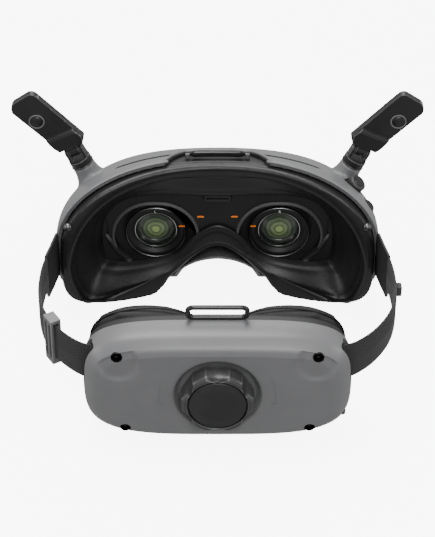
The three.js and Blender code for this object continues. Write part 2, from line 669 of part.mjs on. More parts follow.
function circleRing(r, y, points = pack.points) {
  const ring = [];
  for (let i = 0; i < points; i += 1) {
    const t = (i / points) * 2 * Math.PI;
    ring.push(new THREE.Vector3(r * Math.cos(t), y, pack.knobZ + r * Math.sin(t)));
  }
  return ring;
}

const strapMouth = (side) => block(16, mouth.frontY - mouth.rearY, mouth.high - mouth.low,
  side * pack.halfWidth, (mouth.frontY + mouth.rearY) / 2, (mouth.high + mouth.low) / 2);

function packShell() {
  const { edgeY, rearY, wall } = pack;
  const body = skin([
    packRing(0.4, edgeY), packRing(0, edgeY - 5), packRing(1, rearY + 7), packRing(3.4, rearY + 3.2),
    packRing(7.4, rearY + 1), packRing(13, rearY),
    circleRing(dish.outerR, rearY - 0.2), circleRing(dish.floorR, dish.floorY),
    circleRing(dish.holeR, dish.floorY), circleRing(dish.holeR, dish.floorY + wall),
    circleRing(dish.floorR + 1, dish.floorY + wall), circleRing(dish.outerR + 1, rearY + wall),
    packRing(13, rearY + wall), packRing(8.4, rearY + wall + 1), packRing(5, rearY + wall + 3),
    packRing(wall, rearY + 8), packRing(wall, edgeY),
  ], true);
  const sockets = screwPlaces.map(({ x, z }) => moved(rodY(2.6, rearY - 3, rearY + 12, 20), x, 0, z));
  const button = rodY(3.7, 0, 12, 20).rotateZ(-Math.PI / 2).translate(pack.halfWidth - 9, -76, 15);
  return combine(body, { subtract: [...SIDES.map(({ side }) => strapMouth(side)), ...sockets, button] });
}

function packInnerShell() {
  const y = pack.edgeY + GAP;
  return skin([
    packRing(10, y + 8.4), packRing(4, y + 7.5), packRing(1.2, y + 4), packRing(1, y),
    packRing(2.8, y), packRing(3.4, y + 3.6), packRing(5.2, y + 6.4), packRing(10, y + 6.8),
  ], false);
}

// The padded side that rests on the back of the head: two crowned lobes with a valley between them.
function packPad() {
  const rearY = pack.edgeY + GAP + 8.9;
  const rings = [[2.4, 0], [1.2, 2.6], [1, 6], [4, 9.4], [10, 11.4], [18, 12]].map(([inset, forward]) => (
    packRing(inset, rearY + forward).map((p) => {
      const valley = 3 * Math.exp(-((p.x / 9) ** 2)) * THREE.MathUtils.clamp((p.z - 31) / 20, 0, 1);
      return p.setZ(p.z - valley);
    })));
  return skin(rings, false);
}

// The loop for a top strap, leaning back on the pack's top edge and trimmed to it.
function rearStrapBar() {
  const outer = roundedRect(rearLoop.width, rearLoop.height, 3);
  outer.holes.push(roundedRect(rearLoop.holeWidth, rearLoop.holeHeight, 1.4, new THREE.Path()));
  const upright = Math.PI / 2 - rearLoop.tilt;
  const loop = extruded(outer, 2.4, 4).rotateX(upright).translate(0, rearLoop.y, rearLoop.z);
  return combine(loop, { subtract: [block(40, 20, 10, 0, rearLoop.y, pack.height + GAP - 5)] });
}

function knobRing(r, scallop, y, points = 72) {
  const ring = [];
  for (let i = 0; i < points; i += 1) {
    const t = (i / points) * 2 * Math.PI;
    const wave = Math.cos(knob.lobes * (t - Math.PI / 2));
    const reach = r - scallop * THREE.MathUtils.smoothstep(wave, -0.1, 0.9);
    ring.push(new THREE.Vector3(reach * Math.cos(t), y, reach * Math.sin(t)));
  }
  return ring;
}

function knobBody() {
  const { r, scallop, rearY, frontY, capR, shaftR } = knob;
  const body = skin([
    knobRing(r - 0.8, scallop, frontY - 0.9), knobRing(r, scallop, rearY + 2.4),
    knobRing(r - 0.8, scallop, rearY + 0.8), knobRing(r - 2, scallop * 0.7, rearY),
  ], false);
  const cap = rodY(capR + GAP, rearY - 2, rearY + 1.8, 40);
  const bore = rodY(shaftR + 0.15, rearY + 4, frontY + 3, 20);
  return combine(body, { subtract: [cap, bore] });
}

const knobCap = () => turnedY([
  [0, knob.rearY + 1.2], [9.5, knob.rearY + 1], [11.6, knob.rearY - 0.0], [13, knob.rearY + 0.1],
  [knob.capR, knob.rearY + 0.7], [knob.capR, knob.rearY + 1.6], [0, knob.rearY + 1.6],
], 32);

// Involute pinion, pitch radius = module * teeth / 2, with a little backlash.
function pinionGear() {
  const { teeth, module, pressure, rearY, frontY } = pinion;
  const pitchR = (module * teeth) / 2;
  const baseR = pitchR * Math.cos(pressure);
  const [tipR, rootR] = [pitchR + 0.85 * module, pitchR - 1.1 * module];
  const involute = (r) => {
    const a = Math.acos(Math.min(1, baseR / r));
    return Math.tan(a) - a;
  };
  const backlash = 0.014;
  const halfTooth = Math.PI / (2 * teeth) + involute(pitchR) - backlash;
  const points = [];
  const flank = [baseR, pitchR - 0.15, pitchR + 0.35, tipR];
  for (let i = 0; i < teeth; i += 1) {
    const middle = ((i + 0.5) / teeth) * 2 * Math.PI + Math.PI / 2;
    const rising = flank.map((r) => [r, middle - halfTooth + involute(r)]);
    const falling = flank.slice().reverse().map((r) => [r, middle + halfTooth - involute(r)]);
    const tooth = [[rootR, middle - halfTooth], ...rising, ...falling, [rootR, middle + halfTooth]];
    points.push(...tooth.map(([r, a]) => new THREE.Vector2(r * Math.cos(a), r * Math.sin(a))));
  }
  return slabY(new THREE.Shape(points), rearY, frontY, 1);
}

function knobShaft() {
  const shaft = rodY(knob.shaftR, knob.rearY + 4.4, pinion.frontY + 0.4, 20);
  return combine(shaft, { add: [pinionGear()] });
}

// A rack with its teeth on the pitch line, and the tab that its strap end is sewn round.
function rack(side) {
  const { module, teeth, pressure, rearY, frontY } = pinion;
  const pitch = Math.PI * module;
  const up = -side;
  const pitchZ = (up * module * teeth) / 2;
  const [tip, root, back] = [0.85 * module, 1.1 * module, 4.6];
  const slope = Math.tan(pressure);
  const quarter = pitch / 4 - 0.06;
  const count = 19;
  const start = -12 * pitch;
  const line = [[start - pitch / 2, root]];
  for (let i = 0; i < count; i += 1) {
    const x = start + i * pitch;
    line.push([x - quarter - root * slope, root], [x - quarter + tip * slope, -tip],
      [x + quarter - tip * slope, -tip], [x + quarter + root * slope, root]);
  }
  line.push([start + (count - 0.5) * pitch, root], [start + (count - 0.5) * pitch, back]);
  line.push([start - pitch / 2, back]);
  const outline = new THREE.Shape(line.map(([x, z]) => new THREE.Vector2(-side * x, pitchZ + up * z)));
  const bar = slabY(outline, rearY + 0.2, frontY - 0.2, 1).translate(0, 0, pack.knobZ);
  const [low, high] = side > 0 ? [22, 53] : [34, 50];
  const post = block(4, 3.4, high - low, side * 39.6, (rearY + frontY) / 2, (low + high) / 2);
  const tab = block(16.4, 2.4, 18.6, side * 47, (rearY + frontY) / 2, 42);
  return combine(bar, { add: [post, tab] });
}

function batteryCell(side) {
  const cell = slabY(roundedRect(42, 38, 3), -69.6, -62.4, 3);
  return moved(cell, side * 22.5, 0, 32);
}

const batteryBoard = () => slabY(roundedRect(90, 40, 2), -71.6, -70.4, 3).translate(0, 0, 31);

function powerButton() {
  return turnedY([[0, 0], [3.4, 0], [3.4, 2.6], [2.8, 3.1], [0, 3.1]], 20).rotateZ(-Math.PI / 2)
    .translate(pack.halfWidth - 5.6, -76, 15);
}

// ---- Assembly ----
addMesh(object, 'main_shell', mainShell(), 'shellGrey');
addMesh(object, 'front_cover', frontCover(), 'blackGloss');
addMesh(object, 'face_frame', faceFrame(), 'blackMatte');
addMesh(object, 'face_foam', faceFoam(), 'foamBlack');
addMesh(object, 'lens_panel', lensPanel(), 'blackMatte');
addMesh(object, 'card_reader', cardReader(), 'blackGloss');
addMesh(object, 'top_bar_tray', topTray(), 'blackMatte');
addMesh(object, 'top_strap_bar', topStrapBar(), 'blackGloss');
addMesh(object, 'fan_housing', fanHousing(), 'blackMatte');
addMesh(object, 'fan_rotor', fanRotor(), 'blackMatte');
addMesh(object, 'main_board', mainBoard(), 'board');
addMesh(object, 'heat_sink', heatSink(), 'aluminium');
addMesh(object, 'base_cover', baseCover(), 'blackMatte');
for (const each of SIDES) {
  addMesh(object, `${each.name}_vent_grille`, ventGrille(each.side), 'blackMatte');
  addMesh(object, `${each.name}_strap_anchor`, sided(strapAnchor(), each.side), 'steel');
  addMesh(object, `${each.name}_strap`, sided(strapBand(), each.side), 'webbing');
  addMesh(object, `${each.name}_rack`, rack(each.side), 'blackMatte');
  addMesh(object, `${each.name}_battery_cell`, batteryCell(each.side), 'cell');
  addEye(each);
  addAntenna(each);
}
addMesh(object, 'strap_buckle', strapBuckle(), 'buckleGrey');
addMesh(object, 'strap_clip', strapClip(), 'blackMatte');
addControls();
addMesh(object, 'pack_shell', packShell(), 'shellGrey');
addMesh(object, 'pack_inner_shell', packInnerShell(), 'blackMatte');
addMesh(object, 'pack_pad', packPad(), 'foamBlack');
addMesh(object, 'rear_strap_bar', rearStrapBar(), 'blackGloss');
addMesh(object, 'tension_knob', knobBody(), 'knobBlack').position.z = pack.knobZ;
addMesh(object, 'tension_knob_cap', knobCap(), 'knobBlack').position.z = pack.knobZ;
addMesh(object, 'knob_shaft', knobShaft(), 'blackMatte').position.z = pack.knobZ;
addMesh(object, 'battery_board', batteryBoard(), 'board');
addMesh(object, 'power_button', powerButton(), 'blackMatte');
for (const { name, x, z } of screwPlaces) {
  addMesh(object, name, screw(2.3, 4.4), 'steel').position.set(x, pack.rearY + 3.4, z);
}

export default object;
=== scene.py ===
"""FPV goggles with a head strap and a rear battery pack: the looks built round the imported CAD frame.

Shapes are worked out in millimetres in the CAD's own local frame and put into the row frame by place().
"""
import math

import bmesh
import bpy
import numpy as np
from mathutils import Euler, Matrix, Vector
from mathutils.bvhtree import BVHTree


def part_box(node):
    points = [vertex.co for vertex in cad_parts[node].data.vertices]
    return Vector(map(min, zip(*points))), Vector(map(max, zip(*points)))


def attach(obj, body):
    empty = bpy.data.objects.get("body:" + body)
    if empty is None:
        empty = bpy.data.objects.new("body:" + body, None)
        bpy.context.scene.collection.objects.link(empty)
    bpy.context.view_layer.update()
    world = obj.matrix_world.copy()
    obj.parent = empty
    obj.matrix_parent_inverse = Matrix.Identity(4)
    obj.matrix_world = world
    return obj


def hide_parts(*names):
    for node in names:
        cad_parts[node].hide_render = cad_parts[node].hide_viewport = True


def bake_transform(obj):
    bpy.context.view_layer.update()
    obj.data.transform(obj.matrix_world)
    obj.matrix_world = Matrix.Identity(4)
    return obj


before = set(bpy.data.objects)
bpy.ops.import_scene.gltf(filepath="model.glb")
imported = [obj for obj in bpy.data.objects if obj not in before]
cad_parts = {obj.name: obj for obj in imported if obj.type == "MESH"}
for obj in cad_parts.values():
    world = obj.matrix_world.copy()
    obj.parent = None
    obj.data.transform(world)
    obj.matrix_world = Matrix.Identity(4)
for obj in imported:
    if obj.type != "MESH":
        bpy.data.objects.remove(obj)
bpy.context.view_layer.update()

MM = 0.001
SIDES = (("left", -1), ("right", 1))

# ---- Driving dimensions, in millimetres, as in the CAD's local frame ----
FRONT_Y = 97.5
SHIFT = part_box("main_shell")[1].y / MM - FRONT_Y     # from the local frame to the row frame, along Y
GAP = 0.3
WALL = 2.2
BELT = 0.43
RIM_AT = 78
SETBACK = 11
STATIONS = (    # y, curve, half width, top, setback of the bottom
    (36, 21, 81, 81.5, SETBACK), (45, 21, 82, 79, SETBACK), (62, 19, 81.5, 70, 0),
    (82, 14, 75.5, 58, 0), (94.5, 8.5, 67, 49.5, 0), (FRONT_Y, 7, 61.5, 45, 0))
NOSE = {"half": 35, "height": 25.5, "taper": 0.66, "rear": 14, "front": 68, "wall": 1.6}
VENT = {"length": 30, "width": 4.6, "x": 37, "y": 44, "turn": 0.16}
RECESS = {"rear": 27.5, "front": 16.6, "start": 32.5, "end": 54.8, "corner": 2.0}
TOP_BAR_Y = 45.2
EYE_X, EYE_Z, EYE_REAR = 32, 31, 43
PANEL_Y = 39
STRAP_Z, STRAP_HALF, TAB_HALF, STRAP_THICK = 42, 10, 13, 1.8
LEAN = math.radians(25.5)
SPLAY = math.radians(13.3)
COLLAR = Vector((68.8, 53, 67.4))
PIN_ABOVE = 8.8
STICK = Vector((69.5, 41, 62))
BACK_BUTTON = Vector((75.2, 31.5, 55))
STICK_TILT = Euler((math.radians(12), math.radians(38), 0))
PACK_HALF, PACK_HEIGHT, PACK_EDGE, PACK_REAR, KNOB_Z = 63, 62, -68, -85.3, 30
KNOB_REAR, KNOB_FRONT, KNOB_R, SCALLOP, CAP_R = -92.6, -82, 17.3, 2.3, 13.6
SCREWS = ((-46.4, 52), (46.4, 52), (-43.4, 10), (43.4, 10))
STRAP_LOOP = {"width": 27.4, "height": 8.6, "corner": 2.6, "rod": 1.2, "tilt": 0.35, "y": -68.6, "z": 66.4}
PAD_DIP, PAD_DIP_WIDTH = 8, 17


# ---- Small mesh kit ----
def place(points):
    """Millimetres in the local frame to metres in the row frame."""
    return (np.asarray(points, float) + (0, SHIFT, 0)) * MM


def make(name, points, faces):
    mesh = bpy.data.meshes.new(name)
    mesh.from_pydata(place(points).tolist(), [], faces)
    obj = bpy.data.objects.new(name, mesh)
    bpy.context.scene.collection.objects.link(obj)
    work = bmesh.new()
    work.from_mesh(mesh)
    bmesh.ops.recalc_face_normals(work, faces=work.faces)
    work.to_mesh(mesh)
    work.free()
    return shaded(obj)


def shaded(obj, sharp=40):
    obj.data.shade_smooth()
    obj.data.set_sharp_from_angle(angle=math.radians(sharp))
    return obj


def smoothstep(x, low, high):
    f = np.clip((np.asarray(x, float) - low) / (high - low), 0, 1)
    return f * f * (3 - 2 * f)


def loft(name, rings, loops=False, sharp=40):
    """A closed skin over rings of equal length, either back to the first ring or with a fan at each end."""
    count, total = len(rings[0]), len(rings)
    points = [p for ring in rings for p in ring]
    faces = []
    for r in range(total if loops else total - 1):
        here, there = r * count, (r + 1) % total * count
        for i in range(count):
            j = (i + 1) % count
            faces.append((here + i, here + j, there + j, there + i))
    if not loops:
        for ring, start in ((rings[0], 0), (rings[-1], (total - 1) * count)):
            points.append(np.mean(ring, axis=0))
            middle = len(points) - 1
            faces += [(start + i, start + (i + 1) % count, middle) for i in range(count)]
    return shaded(make(name, points, faces), sharp)


def turned(name, profile, centre=(0, 0, 0), segments=96, turn=None, sharp=40):
    """A lathe shape about the Y axis from [radius, y] pairs. The profile ends on the axis or meets itself."""
    angles = np.linspace(0, 2 * np.pi, segments, endpoint=False)
    on_axis = profile[0][0] == 0 and profile[-1][0] == 0
    body = profile[1:-1] if on_axis else profile
    rings = [np.column_stack([r * np.cos(angles), np.full(segments, y), r * np.sin(angles)]) for r, y in body]
    if on_axis:
        ends = [(0, profile[0][1], 0), (0, profile[-1][1], 0)]
    matrix = np.array(turn.to_matrix()) if turn else np.eye(3)
    rings = [ring @ matrix.T + centre for ring in rings]
    obj = loft(name, rings, loops=not on_axis, sharp=sharp)
    if on_axis:
        ends = place(np.array(ends) @ matrix.T + centre)
        obj.data.vertices[-2].co, obj.data.vertices[-1].co = ends
    return obj


def spline(controls, steps, closed=False):
    """Catmull-Rom through the controls, which are numbers, points or whole rings, with some steps to each."""
    c = np.asarray(controls, float)
    count = len(c)
    pick = (lambda i: c[i % count]) if closed else (lambda i: c[min(max(i, 0), count - 1)])
    out = []
    for i in range(count if closed else count - 1):
        a, b, d, e = pick(i - 1), pick(i), pick(i + 1), pick(i + 2)
        for k in range(steps):
            t = k / steps
            out.append(0.5 * (2 * b + (d - a) * t + (2 * a - 5 * b + 4 * d - e) * t * t
                              + (3 * b - a - 3 * d + e) * t ** 3))
    if not closed:
        out.append(c[-1])
    return np.array(out)


def round_outline(width, height, radius, steps=10):
    """A rounded rectangle's points, anticlockwise."""
    out = []
    for k, (cx, cy) in enumerate(((1, 1), (-1, 1), (-1, -1), (1, -1))):
        for a in np.linspace(k * 90, k * 90 + 90, steps + 1):
            out.append((cx * (width / 2 - radius) + radius * math.cos(math.radians(a)),
                        cy * (height / 2 - radius) + radius * math.sin(math.radians(a))))
    return np.array(out)


def prism(name, outline, low, high, matrix=None, plane="XZ", sharp=40):
    """A flat outline drawn in one plane and made solid along the third axis, from low to high."""
    rings = []
    for level in (low, high):
        flat = np.full(len(outline), level)
        columns = {"XZ": (outline[:, 0], flat, outline[:, 1]), "XY": (outline[:, 0], outline[:, 1], flat),
                   "YZ": (flat, outline[:, 0], outline[:, 1])}[plane]
        ring = np.column_stack(columns)
        if matrix is not None:
            ring = ring @ np.array(matrix.to_3x3()).T + np.array(matrix.translation)
        rings.append(ring)
    return loft(name, rings, sharp=sharp)


def tube(name, path, radius, sides=10, closed=False):
    """A round rod along a path of points."""
    path = np.asarray(path, float)
    count = len(path)
    rings = []
    normal = None
    for i, p in enumerate(path):
        before, after = (path[i - 1], path[(i + 1) % count]) if closed else (path[max(i - 1, 0)],
                                                                           path[min(i + 1, count - 1)])
        along = Vector(after - before).normalized()
        if normal is None:
            normal = along.orthogonal().normalized()
        normal = (normal - along * normal.dot(along)).normalized()
        other = along.cross(normal)
        rings.append(np.array([p + radius * (math.cos(a) * np.array(normal) + math.sin(a) * np.array(other))
                               for a in np.linspace(0, 2 * np.pi, sides, endpoint=False)]))
    return loft(name, rings, loops=closed)


def applied(obj):
    """Swaps the object's mesh for what its modifiers make of it."""
    graph = bpy.context.evaluated_depsgraph_get()
    mesh = bpy.data.meshes.new_from_object(obj.evaluated_get(graph))
    old, obj.data = obj.data, mesh
    obj.modifiers.clear()
    bpy.data.meshes.remove(old)
    return obj


def modify(obj, kind, **settings):
    modifier = obj.modifiers.new(kind.lower(), kind)
    for key, value in settings.items():
        setattr(modifier, key, value)
    return applied(obj)


def cut(obj, *cutters, operation="DIFFERENCE"):
    for cutter in cutters:
        modify(obj, "BOOLEAN", object=cutter, operation=operation, solver="MANIFOLD")
        bpy.data.objects.remove(cutter)
    return obj


def join(obj, *others):
    for other in others:
        cut(obj, other, operation="UNION")
    return obj


def merged(name, pieces):
    """Several meshes as one object, with nothing welded."""
    work = bmesh.new()
    for piece in pieces:
        work.from_mesh(piece.data)
        bpy.data.objects.remove(piece)
    mesh = bpy.data.meshes.new(name)
    work.to_mesh(mesh)
    work.free()
    obj = bpy.data.objects.new(name, mesh)
    bpy.context.scene.collection.objects.link(obj)
    return shaded(obj)


def from_node(node, name):
    """A new object with the CAD node's shape, welded, with flat faces in one piece each."""
    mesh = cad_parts[node].data.copy()
    obj = bpy.data.objects.new(name, mesh)
    mesh.materials.clear()
    bpy.context.scene.collection.objects.link(obj)
    work = bmesh.new()
    work.from_mesh(mesh)
    bmesh.ops.remove_doubles(work, verts=work.verts, dist=2e-6)
    bmesh.ops.dissolve_limit(work, angle_limit=math.radians(0.6), verts=work.verts, edges=work.edges)
    work.to_mesh(mesh)
    work.free()
    return obj


def bevelled(node, name, width=0.25, segments=2, sharp=40):
    """The CAD node's own shape with its edges broken."""
    obj = from_node(node, name)
    modify(obj, "BEVEL", width=width * MM, segments=segments, limit_method="ANGLE",
           angle_limit=math.radians(28), use_clamp_overlap=True)
    return shaded(obj, sharp)


def remoulded(node, name, voxel=0.3, passes=5):
    """The CAD node's own shape as one smooth moulding, with rounded edges and inner corners."""
    obj = from_node(node, name)
    modify(obj, "REMESH", mode="VOXEL", voxel_size=voxel * MM)
    modify(obj, "SMOOTH", factor=0.5, iterations=passes)
    return shaded(obj, 80)


def finish_piece(obj, body, material, slot, *nodes):
    """Gives a piece its material, lets it stand for its CAD nodes, and puts it on its body; the slot is not
    used.
    """
    obj.data.materials.clear()
    obj.data.materials.append(material)
    if nodes:
        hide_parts(*nodes)
    if body:
        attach(obj, body)
    return obj


# ---- Materials ----
def new_material(name):
    material = bpy.data.materials.new(name)
    material.use_nodes = True
    tree = material.node_tree
    return material, tree, tree.nodes["Principled BSDF"]


def add_node(tree, kind, inputs=(), **settings):
    node = tree.nodes.new(kind)
    for key, value in settings.items():
        setattr(node, key, value)
    for key, value in dict(inputs).items():
        node.inputs[key].default_value = value
    return node


def noise_node(tree, scale, detail=3):
    coords = add_node(tree, "ShaderNodeTexCoord")
    noise = add_node(tree, "ShaderNodeTexNoise", {"Scale": scale, "Detail": detail})
    tree.links.new(coords.outputs["Object"], noise.inputs["Vector"])
    return noise.outputs["Fac"]


def ranged(tree, fac, low, high, start=0.3, end=0.7):
    node = add_node(tree, "ShaderNodeMapRange",
                    {"From Min": start, "From Max": end, "To Min": low, "To Max": high})
    tree.links.new(fac, node.inputs["Value"])
    return node.outputs["Result"]


def mixed(tree, fac, a, b):
    node = add_node(tree, "ShaderNodeMix", data_type="RGBA")
    for socket, value in ((node.inputs[6], a), (node.inputs[7], b)):
        if isinstance(value, tuple):
            socket.default_value = (*value, 1)
        else:
            tree.links.new(value, socket)
    tree.links.new(fac, node.inputs[0])
    return node.outputs[2]


def moulded(name, dark, light, rough, grain=2600, depth=0.00003, strength=0.35, blotch=90,
            edge=None, edge_highlight_start=0.53, edge_highlight_end=0.6, metallic=0.0, sheen=0.0, coat=0.0, specular=0.35):
    """Moulded surface: slow colour variation, fine grain in bump and gloss, and lighter edges painted as an
    edge highlight.
    """
    material, tree, shader = new_material(name)
    colour = mixed(tree, ranged(tree, noise_node(tree, blotch, 4), 0, 1), dark, light)
    if edge:
        # Painted edge highlight: the colour turns to the edge colour where the surface is sharply convex.
        geometry = add_node(tree, "ShaderNodeNewGeometry")
        colour = mixed(tree, ranged(tree, geometry.outputs["Pointiness"], 0, 1, edge_highlight_start, edge_highlight_end),
                       colour, edge)
    tree.links.new(colour, shader.inputs["Base Color"])
    fine = noise_node(tree, grain, 2)
    tree.links.new(ranged(tree, fine, rough - 0.05, rough + 0.05), shader.inputs["Roughness"])
    bump = add_node(tree, "ShaderNodeBump", {"Strength": strength, "Distance": depth})
    tree.links.new(fine, bump.inputs["Height"])
    tree.links.new(bump.outputs["Normal"], shader.inputs["Normal"])
    shader.inputs["Metallic"].default_value = metallic
    shader.inputs["Sheen Weight"].default_value = sheen
    shader.inputs["Coat Weight"].default_value = coat
    shader.inputs["Specular IOR Level"].default_value = specular
    return material


def woven(name, dark, light):
    """Webbing: two thread tones crossing at a fine pitch over the modelled weave, with a dull sheen."""
    material, tree, shader = new_material(name)
    coords = add_node(tree, "ShaderNodeTexCoord")
    waves = []
    for direction in ("Y", "Z"):
        wave = add_node(tree, "ShaderNodeTexWave", {"Scale": 480, "Distortion": 1.5, "Detail": 1},
                        wave_type="BANDS", bands_direction=direction)
        tree.links.new(coords.outputs["Object"], wave.inputs["Vector"])
        waves.append(wave.outputs["Fac"])
    product = add_node(tree, "ShaderNodeMath", operation="MULTIPLY")
    for wave, socket in zip(waves, product.inputs):
        tree.links.new(wave, socket)
    colour = mixed(tree, product.outputs[0], dark, light)
    tree.links.new(colour, shader.inputs["Base Color"])
    fuzz = noise_node(tree, 5200, 2)
    tree.links.new(ranged(tree, fuzz, 0.78, 0.92), shader.inputs["Roughness"])
    bump = add_node(tree, "ShaderNodeBump", {"Strength": 0.5, "Distance": 0.00006})
    tree.links.new(product.outputs[0], bump.inputs["Height"])
    tree.links.new(bump.outputs["Normal"], shader.inputs["Normal"])
    shader.inputs["Sheen Weight"].default_value = 0.08
    return material


def reflection_ringed_glass(name, centre):
    """A lens over its dark barrel: painted reflections, green and pale rings that change with distance from
    its centre, standing in for green reflections off the glass and the inner lens elements seen through it.
    """
    material, tree, shader = new_material(name)
    coords = add_node(tree, "ShaderNodeTexCoord")
    offset = add_node(tree, "ShaderNodeVectorMath", operation="SUBTRACT")
    offset.inputs[1].default_value = centre
    tree.links.new(coords.outputs["Object"], offset.inputs[0])
    flat = add_node(tree, "ShaderNodeVectorMath", operation="MULTIPLY")
    flat.inputs[1].default_value = (1, 0, 1)
    tree.links.new(offset.outputs[0], flat.inputs[0])
    length = add_node(tree, "ShaderNodeVectorMath", operation="LENGTH")
    tree.links.new(flat.outputs[0], length.inputs[0])
    wobble = noise_node(tree, 260, 3)
    radius = add_node(tree, "ShaderNodeMath", operation="MULTIPLY_ADD")
    radius.inputs[1].default_value = 0.0016
    tree.links.new(wobble, radius.inputs[0])
    tree.links.new(length.outputs["Value"], radius.inputs[2])
    share = ranged(tree, radius.outputs[0], 0, 1, 0.0006, 0.0112)
    ramp = add_node(tree, "ShaderNodeValToRGB")
    # Painted reflection rings: pale green near the centre, then darker and lighter bands outwards.
    stops = ((0.0, (0.20, 0.27, 0.09)), (0.16, (0.26, 0.34, 0.12)), (0.24, (0.07, 0.10, 0.045)),
             (0.36, (0.17, 0.22, 0.10)), (0.47, (0.05, 0.07, 0.04)), (0.58, (0.11, 0.14, 0.08)),
             (0.68, (0.03, 0.036, 0.03)), (0.80, (0.06, 0.07, 0.055)), (0.9, (0.012, 0.014, 0.014)))
    elements = ramp.color_ramp.elements
    while len(elements) < len(stops):
        elements.new(0.5)
    for element, (position, colour) in zip(elements, stops):
        element.position = position
        element.color = (*colour, 1)
    tree.links.new(share, ramp.inputs["Fac"])
    tree.links.new(ramp.outputs["Color"], shader.inputs["Base Color"])
    shader.inputs["Roughness"].default_value = 0.16
    shader.inputs["Coat Weight"].default_value = 0.25
    shader.inputs["Coat Roughness"].default_value = 0.02
    shader.inputs["Specular IOR Level"].default_value = 0.3
    return material


# Where a material below has an edge colour, that colour is a painted edge highlight on sharp convex edges.
GREY = moulded("shell_grey", (0.118, 0.119, 0.122), (0.128, 0.129, 0.132), 0.4, depth=0.00002, specular=0.5)
FOAM = moulded("foam_skin", (0.006, 0.006, 0.0063), (0.008, 0.008, 0.0083), 0.38, grain=1500, depth=0.00003)
PANEL = moulded("panel_black", (0.005, 0.005, 0.0053), (0.008, 0.008, 0.0083), 0.5)
MATTE = moulded("matte_black", (0.013, 0.013, 0.014), (0.018, 0.018, 0.019), 0.5, edge=(0.09, 0.09, 0.093))
ANTENNA = moulded("antenna_black", (0.009, 0.009, 0.0095), (0.013, 0.013, 0.0135), 0.36,
                  edge=(0.12, 0.12, 0.124), edge_highlight_start=0.515, edge_highlight_end=0.56)
GLOSS = moulded("gloss_black", (0.012, 0.012, 0.013), (0.016, 0.016, 0.017), 0.14, grain=900, strength=0.05)
COVER = moulded("cover_gloss", (0.010, 0.010, 0.011), (0.014, 0.014, 0.015), 0.2, grain=700, strength=0.03,
                coat=0.6)
KNOB = moulded("knob_black", (0.010, 0.010, 0.0105), (0.014, 0.014, 0.0145), 0.34, edge=(0.12, 0.12, 0.124),
               edge_highlight_start=0.515, edge_highlight_end=0.57)
CAP = moulded("cap_black", (0.013, 0.013, 0.0135), (0.017, 0.017, 0.0175), 0.45)
BUCKLE = moulded("buckle_grey", (0.10, 0.10, 0.102), (0.13, 0.13, 0.132), 0.45, edge=(0.3, 0.3, 0.3))
PAD = moulded("pad_skin", (0.008, 0.008, 0.0084), (0.012, 0.012, 0.0124), 0.6, grain=1900, depth=0.00005)
CHROME = moulded("bright_ring", (0.5, 0.5, 0.5), (0.56, 0.56, 0.56), 0.22, metallic=1.0, strength=0.05)
STEEL = moulded("dark_steel", (0.10, 0.10, 0.10), (0.16, 0.16, 0.16), 0.35, metallic=1.0)
SCREW = moulded("black_screw", (0.006, 0.006, 0.006), (0.01, 0.01, 0.01), 0.35, metallic=0.6)
ALUMINIUM = moulded("aluminium", (0.5, 0.5, 0.51), (0.6, 0.6, 0.61), 0.35, metallic=1.0, grain=1400)
BOARD = moulded("solder_mask", (0.01, 0.07, 0.03), (0.015, 0.1, 0.04), 0.4)
CELL = moulded("cell_wrap", (0.02, 0.06, 0.2), (0.03, 0.08, 0.26), 0.3)
ORANGE = moulded("orange_mark", (0.75, 0.16, 0.01), (0.85, 0.22, 0.02), 0.4, blotch=900)
LETTER = moulded("pale_mark", (0.5, 0.5, 0.5), (0.6, 0.6, 0.6), 0.5)
WEBBING = woven("webbing", (0.007, 0.007, 0.0074), (0.024, 0.024, 0.025))
THREAD = moulded("thread", (0.03, 0.03, 0.031), (0.06, 0.06, 0.062), 0.8, sheen=0.3)
TAB = moulded("tab_black", (0.009, 0.009, 0.0095), (0.014, 0.014, 0.0145), 0.55, edge=(0.05, 0.05, 0.05))


# ---- Housing ----
def shell_ring(station, inset=0, points=240):
    """One cross-section: broad round shoulders above the belt and tight corners below it."""
    y, curve, half, top, lift = station
    t = np.linspace(0, 2 * np.pi, points, endpoint=False)
    c, s = np.cos(t), np.sin(t)
    belt = top * BELT
    squareness = np.where(s > 0, 2.9, 4.2)
    reach = np.where(s > 0, top - belt - inset, belt - inset)
    x = (half - inset) * np.sign(c) * np.abs(c) ** (2 / squareness)
    z = belt + reach * np.sign(s) * np.abs(s) ** (2 / squareness)
    return np.column_stack([x, y + lift * smoothstep(belt - z, 0, belt) - curve * (x / RIM_AT) ** 2, z])


def nose_tunnel(name, grow):
    rings = []
    for f in np.linspace(0, 1, 13):
        share = 1 - f * NOSE["taper"]
        half, high = NOSE["half"] * share + grow, NOSE["height"] * share + grow
        y = NOSE["rear"] + (NOSE["front"] - NOSE["rear"]) * f + (grow if f == 1 else 0)
        t = np.linspace(0, np.pi, 40)
        arch = np.column_stack([half * np.cos(t), np.full(40, y), high * np.sin(t) ** 1.4])
        rings.append(np.vstack([arch, [(-half, y, -4), (half, y, -4)]]))
    return loft(name, rings)


def horn(side):
    """The horn under an antenna collar, flared where it grows out of the housing."""
    profile = [(0, -22), (15, -22)] + [(5.8 + 7.5 * (d / 20) ** 1.9, -d) for d in (18, 15, 12, 9, 6, 4, 2, 1)]
    profile += [(5.8, -0.4), (5.4, 0), (0, 0)]
    turn = Matrix.Rotation(side * LEAN, 3, "Y") @ Matrix.Rotation(math.pi / 2, 3, "X")
    return turned(f"horn_{side}", profile, (side * COLLAR.x, COLLAR.y, COLLAR.z), 64, turn.to_quaternion())


